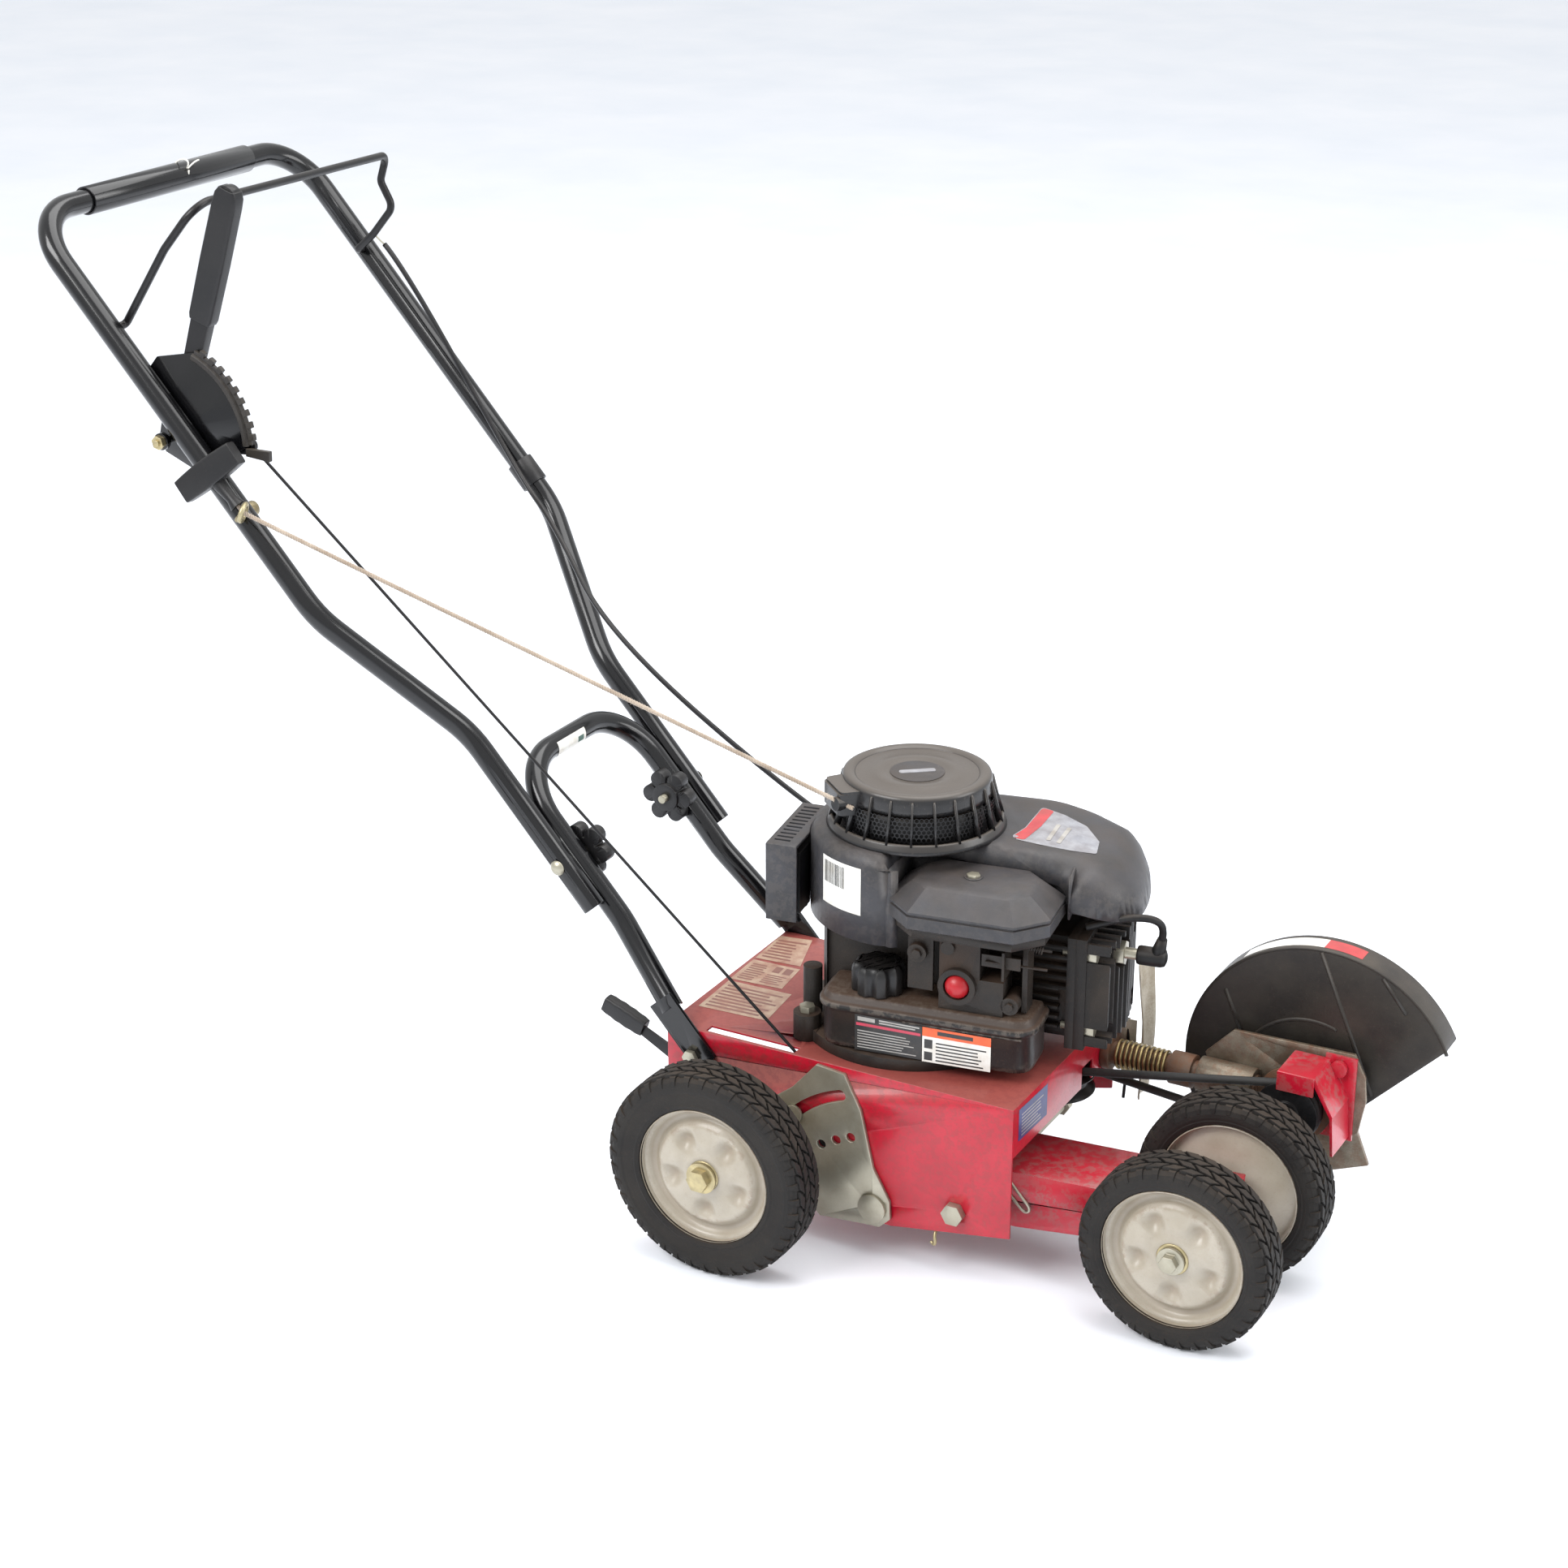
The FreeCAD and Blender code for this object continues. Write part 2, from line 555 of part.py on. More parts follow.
lever_low, lever_top = Vector(-478, 0, 785), Vector(-427.6, 0, 933)
lever = lever_link(lever_pivot, lever_low, 12, 9, lever_y, 3.0)
lever = lever.fuse(lever_link(lever_pivot, rod_hole, 12, 8, lever_y, 3.0))
lever = lever.fuse(lever_link(lever_low, lever_top, 9, 12, lever_y, 11.0))
lever = lever.cut(round_y(lever_pivot.x, lever_pivot.z, 4.08, -220, -150))
lever = lever.cut(round_y(rod_hole.x, rod_hole.z, 3.4, -220, -150))
shaped("depth_lever", lever)
rod_top_y = lever_y + 3.0 + 0.4 + V["rod_r"]
depth_rod_line = [(rod_hole.x, rod_top_y, rod_hole.z), (112.0, V["slot_y"] + 3.0, 178.0),
                  (rod_pin.x, arm_right - 3.2 - 0.5 - V["rod_r"], rod_pin.z)]
rod_solid = tube(depth_rod_line, 30, V["rod_r"])
pin_tip = round_y(rod_pin.x, rod_pin.z, 3.3, arm_right - 3.2 - 0.5 - 2 * V["rod_r"], arm_right + 1.5)
eye = round_y(rod_hole.x, rod_hole.z, 6.0, rod_top_y - V["rod_r"], rod_top_y + V["rod_r"])
shaped("depth_rod", rod_solid.fuse(pin_tip).fuse(eye))

# ---------------------------------------------------------------- rope eye, cable clip
eye_at = Vector(-406.0, -214.0, 654.5)
tube_side = Vector(-416.0, -grip_half - tube_r - 0.2, 645.0)
eye_ring = Part.makeTorus(8.0, 2.4, eye_at, Vector(0.9, 0.35, -0.3))
stem = bar(tube_side + Vector(0, -1.8, 0), eye_at + Vector(-6.0, 1.0, -5.5), 2.4)
wing = Part.makeCylinder(7.5, 9.0, Vector(-424.0, -grip_half + tube_r + 1.2, 646.0), Y_AXIS)
shaped("rope_eye", Part.makeCompound([eye_ring.fuse(stem), wing]))
clip_at = on_handle(540, 197.5)
clip = bar(clip_at - lean * 14, clip_at + lean * 14, tube_r + 2.6)
clip = clip.cut(bar(clip_at - lean * 16, clip_at + lean * 16, tube_r + 0.2))
shaped("cable_clip", clip)

# ---------------------------------------------------------------- engine
def on_engine(obj):
    """Turns and moves a sub-part drawn in the engine's own axes."""
    return place(obj, (D["engine_x"], 0, 0), Z_AXIS, D["engine_yaw"])


def turn_shape(shape):
    """The same for a shape made by Part's functions."""
    shape.rotate(Vector(0, 0, 0), Z_AXIS, V["engine_yaw"])
    shape.translate(Vector(V["engine_x"], 0, 0))
    return shape


def round_z(u, v, radius, z0, z1):
    return Part.makeCylinder(radius, z1 - z0, Vector(u, v, z0))


def box_between(low, high):
    return Part.makeBox(high[0] - low[0], high[1] - low[1], high[2] - low[2], Vector(*low))


flange_top = D["deck_top"] + D["flange_high"]
flange = rod((0, 0, D["deck_top"] + 0.05), D["flange_r"], D["flange_high"])
drum = rod((0, 0, flange_top - 0.5), D["crankcase_r"], D["housing_low"] - 1 - flange_top)
bosses = [rod((u, v, D["deck_top"] + 0.05), 13.0, 26.0) for u, v in flange_bolts]
oil_neck = rod((-88, -34, 196), 9.0, 48.0)
tank_room = block((-70, -110, 196.5), (220, 69, 124))
shaft_room = rod((0, 0, 100), D["crank_r"] + 0.05, 400)
stud_room = [rod((u, v, 150), 4.1, 80) for u, v in flange_bolts]
crankcase = cut(fused(flange, drum, oil_neck, *bosses), tank_room, shaft_room, *stud_room)
finish(on_engine(crankcase), "crankcase")

drum_r = V["crankcase_r"]
cylinder_core = box_between((drum_r - 25, -34, 212), (166, 50, 312))
fins = [box_between((78, -38 - 4, z), (166, 56, z + 3.5)) for z in range(262, 312, 10)]
flat_face = box_between((158, -46, 206), (166, 56, 316))
cylinder = cylinder_core.multiFuse(fins + [flat_face]).cut(round_z(0, 0, drum_r + 0.05, 150, 400))
cylinder = cylinder.cut(Part.makeCylinder(30, 130, Vector(60, 6, 262), X_AXIS))
head_bolt_at = [(-36, 224), (-36, 298), (46, 224), (46, 298)]
for y, z in head_bolt_at:
    cylinder = cylinder.cut(Part.makeCylinder(3.55, 40, Vector(150, y, z), X_AXIS))
shaped("cylinder", turn_shape(cylinder))
head_low, head_high = (166.05, -46, 206), (176, 56, 316)
head_fins = [box_between((170, y, 210), (203 - abs(y - 5) * 0.12, y + 4, 312)) for y in range(-44, 56, 12)]
plug_at = Vector(176, -8, 292)
plug_seat = Part.makeCylinder(13, 18, plug_at, X_AXIS)
cylinder_head = box_between(head_low, head_high).multiFuse(head_fins + [plug_seat])
cylinder_head = cylinder_head.cut(Part.makeCylinder(7.05, 60, Vector(160, -8, 292), X_AXIS))
cylinder_head = cylinder_head.cut(Part.makeCylinder(15, 30, Vector(194, -8, 292), X_AXIS))
for y, z in head_bolt_at:
    cylinder_head = cylinder_head.cut(Part.makeCylinder(9, 40, Vector(176, y, z), X_AXIS))
    cylinder_head = cylinder_head.cut(Part.makeCylinder(3.55, 40, Vector(150, y, z), X_AXIS))
shaped("cylinder_head", turn_shape(cylinder_head))
plug = Part.makeCylinder(7.0, 28, Vector(167, -8, 292), X_AXIS)
plug = plug.fuse(hexagon((194.05, -8, 292), (1, 0, 0), 20.6, 9.0))
plug = plug.fuse(Part.makeCylinder(5.4, 22, Vector(203, -8, 292), X_AXIS))
shaped("spark_plug", turn_shape(plug))
boot = Part.makeCylinder(9.0, 20, Vector(218, -8, 292), X_AXIS).cut(
    Part.makeCylinder(5.45, 12, Vector(214, -8, 292), X_AXIS))
elbow = Part.makeCone(8.0, 5.5, 24, Vector(233, -8, 291), Vector(0.15, -0.1, 1))
elbow = elbow.cut(Part.makeCylinder(5.45, 12, Vector(214, -8, 292), X_AXIS))
lead_points = [(236.5, -10.3, 313), (240, -16, 334), (231, -58, 334), (209, -92, 322)]
lead = tube(lead_points, [9, 16], 3.4)
shaped("ignition_lead", turn_shape(boot.multiFuse([elbow, lead])))

low, high = V["housing_low"], V["housing_high"]


def housing_outline(grow):
    """The blower housing seen from above; grow moves the outline outward."""
    r = V["housing_r"] + grow
    nose = V["nose_r"] + grow
    reach = V["nose_reach"]
    back_arc = Part.Arc(Vector(0, r, low), Vector(-r, 0, low), Vector(0, -r, low)).toShape()
    near = [Vector(0, -r, low), Vector(0 + grow, -15 - grow, low), Vector(157 - grow, -15 - grow, low),
            Vector(160 - grow, -nose, low), Vector(reach + 60, -nose, low)]
    lines = [Part.makeLine(a, b) for a, b in zip(near, near[1:])]
    front = Part.Arc(near[-1], Vector(reach + 60 + nose * 0.52 + grow * 0.48, 4, low),
                     Vector(reach + 40, nose, low)).toShape()
    far = Part.makeLine(Vector(reach + 40, nose, low), Vector(0, r, low))
    return Part.Face(Part.Wire([back_arc] + lines + [front, far]))


shell = housing_outline(0.0).extrude(Vector(0, 0, high - low))
skirt = side_view([(118, high + 40), (118, high), (232, high - 30), (232, high + 40)], -160, 160)
shell = shell.cut(skirt)
hollow = housing_outline(-3.0).extrude(Vector(0, 0, high - low - 3))
hollow = hollow.cut(side_view([(90, high), (90, high - 3.2), (240, high - 36), (240, high)], -160, 160))
hollow.translate(Vector(0, 0, -0.5))
housing = shell.cut(hollow).cut(round_z(0, 0, 74, high - 20, high + 20))
housing = housing.cut(box_between((62, -130, low - 1), (240, 130, 318)))
housing = housing.cut(round_z(0, 0, 66, low - 1, 327.6))
shaped("blower_housing", turn_shape(housing))

base_r, top_r, recoil_top = V["recoil_base_r"], V["recoil_top_r"], V["recoil_high"]
recoil = Part.makeCylinder(base_r + 4, 6, Vector(0, 0, high + 0.05))
recoil = recoil.fuse(Part.makeCylinder(base_r, 10, Vector(0, 0, high + 0.05)))
recoil = recoil.cut(Part.makeCylinder(base_r - 5, 40, Vector(0, 0, high - 10)))
crown = Part.makeCylinder(top_r + 3, 20, Vector(0, 0, recoil_top - 20)).cut(
    Part.makeCylinder(top_r - 1.5, 20, Vector(0, 0, recoil_top - 23)))
crown = crown.cut(Part.makeCylinder(top_r - 3, 8, Vector(0, 0, recoil_top - 1.6)))
ribs = []
for k in range(14):
    rib = side_view([(top_r + 0.5, recoil_top - 2), (top_r + 6, recoil_top - 4), (base_r + 2, high + 8),
                     (base_r - 3.5, high + 8), (top_r + 0.5, recoil_top - 18)], -1.6, 1.6)
    rib.rotate(Vector(0, 0, 0), Z_AXIS, 12.0 + 360.0 / 14 * k)
    ribs.append(rib)
inner_ring = Part.makeCylinder(base_r - 3.2, recoil_top - 21 - high, Vector(0, 0, high + 2)).cut(
    Part.makeCylinder(base_r - 5.2, 80, Vector(0, 0, high - 5)))
outlet = Part.makeBox(26, 26, 17, Vector(52, -13, 416))
outlet.rotate(Vector(0, 0, 0), Z_AXIS, math.degrees(math.atan2(-64, -40)))
outlet = outlet.cut(Part.makeCylinder(top_r - 1.5, 60, Vector(0, 0, 395)))
cap_post = Part.makeCylinder(5.9, recoil_top - 12 - high, Vector(0, 0, high + 10))
cap_disc = Part.makeCylinder(top_r, 2.4, Vector(0, 0, recoil_top - 4))
recoil = recoil.multiFuse([crown, inner_ring, outlet, cap_post, cap_disc] + ribs)
exit_point = engine_point(-40.0, -64.0, 421.0)
recoil = turn_shape(recoil)
rope_far = eye_at
rope_hole = bar(exit_point + (exit_point - rope_far).normalize() * 30, rope_far, V["rope_r"] + 1.4)
shaped("recoil_cover", recoil.cut(rope_hole))

guard_box = box_between((-122, -70, 302), (-92, 32, 378))
guard_box = guard_box.cut(box_between((-119, -67, 299), (-85, 29, 375)))
guard_box = guard_box.cut(round_z(0, 0, V["housing_r"] + 0.5, 250, 400))
louvres = [box_between((-117, -60 + 8 * k, 374), (-102, -56.5 + 8 * k, 380)) for k in range(11)]
shaped("muffler_guard", turn_shape(guard_box.cut(Part.makeCompound(louvres))))
muffler = box_between((-116, -58, 306), (-93, 22, 366))
muffler = muffler.cut(round_z(0, 0, V["housing_r"] + 0.5, 250, 400))
shaped("muffler", turn_shape(muffler.fuse(Part.makeCylinder(7, 12, Vector(-108, -14, 294)))))

tank_w = 56.0
tank_y = -98.0
tank_low = V["deck_top"] + V["flange_high"] + 0.5
tank = box_between((-60, tank_y, tank_low), (140, tank_y + tank_w, V["tank_high"]))
tank = tank.makeFillet(16, [e for e in tank.Edges if abs(e.tangentAt(e.FirstParameter).z) > 0.9])
lip = box_between((-64, tank_y - 4, 238), (144, tank_y + tank_w, 242))
lip = lip.makeFillet(18, [e for e in lip.Edges if abs(e.tangentAt(e.FirstParameter).z) > 0.9])
neck = round_z(-11, -72, 14, V["tank_high"] - 1, V["tank_high"] + 8)
tank = tank.fuse(lip)
inside = box_between((-56, tank_y + 4, tank_low + 4), (136, tank_y + tank_w - 4, V["tank_high"] - 3))
tank = tank.cut(inside).fuse(neck).cut(round_z(-11, -72, 11, 240, 270))
shaped("fuel_tank", turn_shape(tank))
cap_low = V["tank_high"] + 0.6
cap = round_z(-11, -72, V["cap_r"], cap_low, cap_low + 28)
cap = cap.cut(round_z(-11, -72, 14.5, cap_low - 5, cap_low + 10))
for k in range(9):
    angle = math.radians(40 * k)
    flute = Vector(-11, -72, 0) + Vector(math.cos(angle), math.sin(angle), 0) * (V["cap_r"] + 3.5)
    cap = cap.cut(round_z(flute.x, flute.y, 6, cap_low - 1, cap_low + 22))
shaped("fuel_cap", turn_shape(cap))

cleaner_low = V["cleaner_low"]


def octagon(centre_u, centre_v, half_u, half_v, corner, z):
    """An octagon made by cutting the corners off a rectangle."""
    points = [(half_u, corner - half_v), (half_u, half_v - corner), (half_u - corner, half_v),
              (corner - half_u, half_v), (-half_u, half_v - corner), (-half_u, corner - half_v),
              (corner - half_u, -half_v), (half_u - corner, -half_v)]
    points = [Vector(centre_u + u, centre_v + v, z) for u, v in points]
    return Part.makePolygon(points + points[:1])


cu, cv = 79.0, -68.0
rim_part = Part.Face(octagon(cu, cv, 75, 53, 26, cleaner_low)).extrude(Vector(0, 0, 20))
lid = Part.makeLoft([octagon(cu, cv, 72, 50, 25, cleaner_low + 20),
                     octagon(cu, cv, 52, 32, 14, cleaner_low + 37)], True)
cover = rim_part.fuse(lid)
room = Part.Face(octagon(cu, cv, 72.4, 50.4, 25, cleaner_low - 1)).extrude(Vector(0, 0, 19))
cover = cover.cut(room).cut(round_z(cu - 4.0, cv, 3.1, 300, 400))
shaped("air_cleaner_cover", turn_shape(cover))
base_plate = Part.Face(octagon(cu, cv, 70, 48, 24, cleaner_low - 8)).extrude(Vector(0, 0, 10))
screw_u = cu - 4.0
carb = box_between((52, -92, V["tank_high"] + 0.4), (112, -62, cleaner_low - 7))
carb = carb.cut(box_between((90, -100, 284), (120, -30, 322)))
collar = Part.makeCylinder(17.5, 20, Vector(70, -98, 276), Y_AXIS)
primer_room = Part.makeCylinder(12.3, 14.5, Vector(70, -99, 276), Y_AXIS)
carb = carb.multiFuse([collar, base_plate, round_z(screw_u, cv, 5, cleaner_low - 2, cleaner_low + 15)])
carb = carb.cut(primer_room).cut(round_z(screw_u, cv, 2.95, 320, 380))
shaped("carburettor", turn_shape(carb))
bulb = Part.makeCylinder(11.9, 4.0, Vector(70, -92, 276), Y_AXIS)
bulb = bulb.fuse(Part.makeSphere(11.9, Vector(70, -92, 276)).common(
    box_between((40, -105, 250), (100, -92, 300))))
shaped("primer_bulb", turn_shape(bulb))

screws = [turn_shape(bolt((screw_u, cv, cleaner_low + 37.05), (0, 0, 1), 2.9, 26, 11.0, 2.5))]
for y, z in head_bolt_at:
    screws.append(turn_shape(bolt((176.05, y, z), (1, 0, 0), 3.5, 24, 13.0, 8.0)))
for u, v in flange_bolts:
    screws.append(turn_shape(bolt((u, v, 211.1), (0, 0, 1), 4.0, 32, 13.0, 6.0)))
shaped("engine_bolts", Part.makeCompound(screws))

crank_low, belt_z = 108.0, V["belt_height"]
crank = Part.makeCylinder(V["crank_r"], 300 - 150, Vector(0, 0, 150))
crank = Part.makeCylinder(9.0, 330 - crank_low, Vector(0, 0, crank_low)).fuse(crank)
shaped("crankshaft", turn_shape(crank))
groove = 8.0


def grooved(bore, rim, hub=13.0, half_wide=9.0):
    """The profile of a belt pulley: hub, two flanges and a groove between them."""
    mouth = half_wide - 1.2
    return [(bore, -half_wide - 2), (hub, -half_wide - 2), (hub, -half_wide), (rim, -half_wide),
            (rim, -mouth), (rim - groove, -3), (rim - groove, 3), (rim, mouth), (rim, half_wide),
            (hub, half_wide), (hub, half_wide + 2), (bore, half_wide + 2)]


turned("drive_pulley", grooved(9.02, D["drive_pulley_r"], 15.0), (D["engine_x"], 0, D["belt_height"]))
flywheel_low = V["housing_low"] + 1.5
fly = [(9.02, 0), (16, 0), (16, 4), (52, 4), (52, 0), (64, 0), (64, 18), (9.02, 18)]
turned("flywheel", fly, (D["engine_x"], 0, flywheel_low))
starter_profile = [(6, 412), (48, 412), (48, 414), (42, 416), (42, 420), (48, 422), (48, 425), (6, 425)]
turned("starter_pulley", starter_profile, (D["engine_x"], 0, 0))

# ---------------------------------------------------------------- curb wheel bracket and lever
bracket_points = [(113.6, 153), (139, 183), (168.4, 180), (185.3, 147), (198.6, 91), (216, 60), (217, 42),
                  (206, 31), (190, 30), (143.8, 26), (92, 80), (66, 84), (58, 104), (72, 121)]
bracket_y0 = -plate_outer
bracket = side_view(bracket_points, bracket_y0, bracket_y0 + plate_thick)
bracket = bracket.cut(round_y(curb_x, curb_z, 6.43, -140, -100))
bracket = bracket.cut(round_y(rear_x, V["rear_wheel_r"], V["axle_r"] + 0.05, -140, -100))
for x, z in ((145, 102), (160.4, 110.5), (175.5, 117)):
    bracket = bracket.cut(round_y(x, z, 4.6, -140, -100))
slot_r = 113.0


def around_pivot(angle, radius=slot_r):
    turn = math.radians(angle)
    return Vector(curb_x + radius * math.cos(turn), 0, curb_z + radius * math.sin(turn))


for point in (around_pivot(108), around_pivot(138.5)):
    bracket = bracket.cut(round_y(point.x, point.z, 5.6, -140, -100))
outer = [around_pivot(a, slot_r + 5.6) for a in (108, 123.2, 138.5)]
inner = [around_pivot(a, slot_r - 5.6) for a in (138.5, 123.2, 108)]
slot_wire = Part.Wire([Part.Arc(*outer).toShape(), Part.makeLine(outer[2], inner[0]),
                       Part.Arc(*inner).toShape(), Part.makeLine(inner[2], outer[0])])
slot_face = Part.Face(slot_wire)
slot_face.translate(Vector(0, -140, 0))
bracket = bracket.cut(slot_face.extrude(Vector(0, 60, 0)))
shaped("curb_bracket", bracket)

curb_strip = side_view([(-60, 176), (-57, 164), (-18, 143), (150, 93), (150, 107), (-18, 157)], -112, -109)
curb_pin = round_y(145, 102, 3.6, -half - 0.15, -109.5)
knob_shape = Part.makeBox(46, 12, 17, Vector(-23, -6, -8))
knob_shape = knob_shape.makeFillet(4, knob_shape.Edges)
knob_shape.rotate(Vector(0, 0, 0), Y_AXIS, 22)
knob_shape.translate(Vector(-72, -110.5, 178))
latch_pin = Part.makeCylinder(2.4, 36, Vector(-10, -110.5, 128))
shaped("curb_lever", curb_strip.multiFuse([curb_pin, knob_shape, latch_pin]))

# ---------------------------------------------------------------- blade arm, spring, belts
arm_y, arm_z, blade_arm_r = V["arm_y"], V["arm_height"], V["arm_r"]
head_back = 440.0
blade_arm = Part.makeCylinder(blade_arm_r, head_back + 48 - 300, Vector(300, arm_y, arm_z), X_AXIS)
inner_collar = Part.makeCylinder(16, 10, Vector(front - steel - 10.5, arm_y, arm_z), X_AXIS)
outer_collar = Part.makeCylinder(17, 8, Vector(front + 0.5, arm_y, arm_z), X_AXIS)
detent = Part.makeCylinder(16, 22, Vector(404, arm_y, arm_z), X_AXIS)
shaped("blade_arm", blade_arm.multiFuse([inner_collar, outer_collar, detent]))
coils, wire_r, spring_r = 11, 1.6, 14.5
spring_x, spring_long = front + 12.0, 52.0
helix = Part.makeHelix(spring_long / coils, spring_long, spring_r - wire_r)
section = Part.Wire(Part.makeCircle(wire_r, Vector(spring_r - wire_r, 0, 0), Vector(0, 1, 0)))
spring = Part.Wire(helix).makePipeShell([section], True, True)
spring.Placement = Placement(Vector(spring_x, arm_y, arm_z), Rotation(Z_AXIS, X_AXIS))
shaped("tension_spring", spring)

idler_x, idler_y, idler_z, idler_r = 296.0, 70.0, 122.0, 38.0
turned("idler_pulley", grooved(5.1, idler_r), (idler_x, idler_y, idler_z))
spindle_x, spindle_z, pulley_y = V["spindle_x"], V["spindle_height"], V["pulley_y"]
spindle_pulley_r = 30.0
turned("spindle_pulley", grooved(D["spindle_r"] + 0.02, spindle_pulley_r, 12.0),
       (D["spindle_x"], D["pulley_y"], D["spindle_height"]), ALONG_Y)
belt_r = V["belt_r"]
belt_sits = groove - belt_r - 0.8
drive_belt_r = V["drive_pulley_r"] - belt_sits
idler_belt_r = idler_r - belt_sits
spindle_belt_r = spindle_pulley_r - belt_sits
drive_centre = Vector(V["engine_x"], 0, belt_z)
idler_centre = Vector(idler_x, idler_y, idler_z)


def heading(angle):
    return Vector(math.cos(angle), math.sin(angle), 0)


# upper strand: from the left side of the drive pulley to the top of the spindle pulley
spindle_top = Vector(spindle_x, pulley_y, spindle_z + spindle_belt_r)
spindle_bottom = Vector(spindle_x, pulley_y, spindle_z - spindle_belt_r)
span = math.hypot(spindle_x - drive_centre.x, pulley_y - drive_centre.y)
upper_turn = math.atan2(pulley_y, spindle_x - drive_centre.x) - math.asin(drive_belt_r / span)
upper_start = drive_centre + heading(upper_turn + math.pi / 2) * drive_belt_r
# lower strand: crosses to the far side of the idler and ends at the bottom of the spindle pulley
apart = math.hypot(idler_x - drive_centre.x, idler_y)
cross_turn = math.atan2(idler_y, idler_x - drive_centre.x) + math.asin((drive_belt_r + idler_belt_r) / apart)
lower_start = drive_centre + heading(cross_turn - math.pi / 2) * drive_belt_r
idler_on = idler_centre + heading(cross_turn + math.pi / 2) * idler_belt_r
reach = math.hypot(spindle_x - idler_x, pulley_y - idler_y)
away_turn = math.atan2(pulley_y - idler_y, spindle_x - idler_x) - math.asin(idler_belt_r / reach)
idler_off = idler_centre + heading(away_turn + math.pi / 2) * idler_belt_r
idler_mid = idler_centre + heading((cross_turn + away_turn) / 2 + math.pi / 2) * idler_belt_r
drive_back = drive_centre + heading((upper_turn + cross_turn) / 2 + math.pi) * drive_belt_r
spindle_front = Vector(spindle_x + spindle_belt_r, pulley_y, spindle_z)
belt_line = [Part.makeLine(idler_off, spindle_bottom),
             Part.Arc(spindle_bottom, spindle_front, spindle_top).toShape(),
             Part.makeLine(spindle_top, upper_start),
             Part.Arc(upper_start, drive_back, lower_start).toShape(),
             Part.makeLine(lower_start, idler_on),
             Part.Arc(idler_on, idler_mid, idler_off).toShape()]


def strand(edge):
    """One length of the belt along an edge; a straight length stops just short of the bent ones."""
    start, direction = edge.valueAt(edge.FirstParameter), edge.tangentAt(edge.FirstParameter)
    if isinstance(edge.Curve, Part.Circle):
        turn = math.degrees(edge.LastParameter - edge.FirstParameter)
        section = Part.Face(Part.Wire(Part.makeCircle(belt_r, start, direction)))
        return section.revolve(edge.Curve.Center, edge.Curve.Axis, turn)
    return Part.makeCylinder(belt_r, edge.Length - 2 * seam_gap, start + direction * seam_gap, direction)


seam_gap = 1.0
shaped("drive_belt", Part.makeCompound([strand(edge) for edge in belt_line]))

# ---------------------------------------------------------------- blade head
wall_y = V["guard_wall_y"]
plate_y = 106.0
head_outline = [(431, 167), (457.6, 196), (574.5, 199), (585.8, 178), (588, 154), (582.5, 120), (560, 104),
                (490, 104), (444, 132)]
head_plate = side_view(head_outline, plate_y, plate_y + 4.0)
clamp = Part.makeCylinder(blade_arm_r + 6, 54, Vector(432, arm_y, arm_z), X_AXIS)
clamp_bore = Part.makeCylinder(blade_arm_r + 0.05, 120, Vector(400, arm_y, arm_z), X_AXIS)
clamp = clamp.cut(box_between((400, plate_y, 100), (520, 140, 200)))
head_plate = head_plate.fuse(clamp).cut(clamp_bore)
head_plate = head_plate.cut(round_y(spindle_x, spindle_z, 16.05, 60, 150))
strap_bolts = [(562, 184), (562, 124)]
for x, z in strap_bolts:
    head_plate = head_plate.cut(round_y(x, z, 4.05, 90, 120))
shaped("head_plate", head_plate)
bearing = round_y(spindle_x, spindle_z, 16.0, 88.5, 136)
bearing = bearing.fuse(round_y(spindle_x, spindle_z, 27.0, 110.05, 121.5))
bearing = bearing.cut(round_y(spindle_x, spindle_z, V["spindle_r"] + 0.05, 50, 160))
shaped("bearing_housing", bearing)

strap_top = box_between((518, 58, 188), (553, 106, 190.5))
strap_lip = box_between((518, 58, 172), (553, 60.5, 190.5))
strap_tab = box_between((548, 103.5, 112), (578, 105.95, 196))
strap_arm_top = side_view([(545, 190.5), (553, 190.5), (572.5, 155), (569.5, 154), (549.5, 188)], 60, 105.9)
strap_arm_low = side_view([(569.5, 155), (572, 155), (575, 116), (572.5, 116)], 60, 105.9)
strap = strap_top.multiFuse([strap_lip, strap_tab, strap_arm_top, strap_arm_low])
for x, z in strap_bolts:
    strap = strap.cut(round_y(x, z, 4.05, 90, 120))
strap_nuts = [round_y(x, z, 4.0, 100.5, 113.5).fuse(round_y(x, z, 8.0, 98.5, 103.45)) for x, z in strap_bolts]
strap_rivets = [round_y(x, z, 7.5, 110.05, 113.5) for x, z in strap_bolts]
strap = Part.makeCompound([strap] + [a.fuse(b) for a, b in zip(strap_nuts, strap_rivets)])
shaped("belt_guard", strap)

guard_x, guard_z, guard_r = 536.0, 158.0, V["guard_r"]


def guard_disc(radius, y0, y1):
    return round_y(guard_x, guard_z, radius, y0, y1)


cut_line = [(656, 217), (579, 138), (499, 118), (417, 112), (380, 90), (380, -20), (700, -20), (700, 217)]
below = side_view(cut_line, 100, 170)
wall = guard_disc(guard_r, wall_y, wall_y + 2.5)
band = guard_disc(guard_r, wall_y, wall_y + V["guard_deep"]).cut(guard_disc(guard_r - 2.5, 100, 170))
guard = wall.fuse(band).cut(below)
guard = guard.cut(round_y(spindle_x, spindle_z, 16.05, 100, 160))
shaped("blade_guard", guard)
shaft = round_y(spindle_x, spindle_z, V["spindle_r"], 60.5, 152)
disc = round_y(spindle_x, spindle_z, 36, 84.2, 86.7)
nut = hexagon((spindle_x, 144.6, spindle_z), (0, 1, 0), 19, 7)
hub = round_y(spindle_x, spindle_z, 15, 137.0, 139.5)
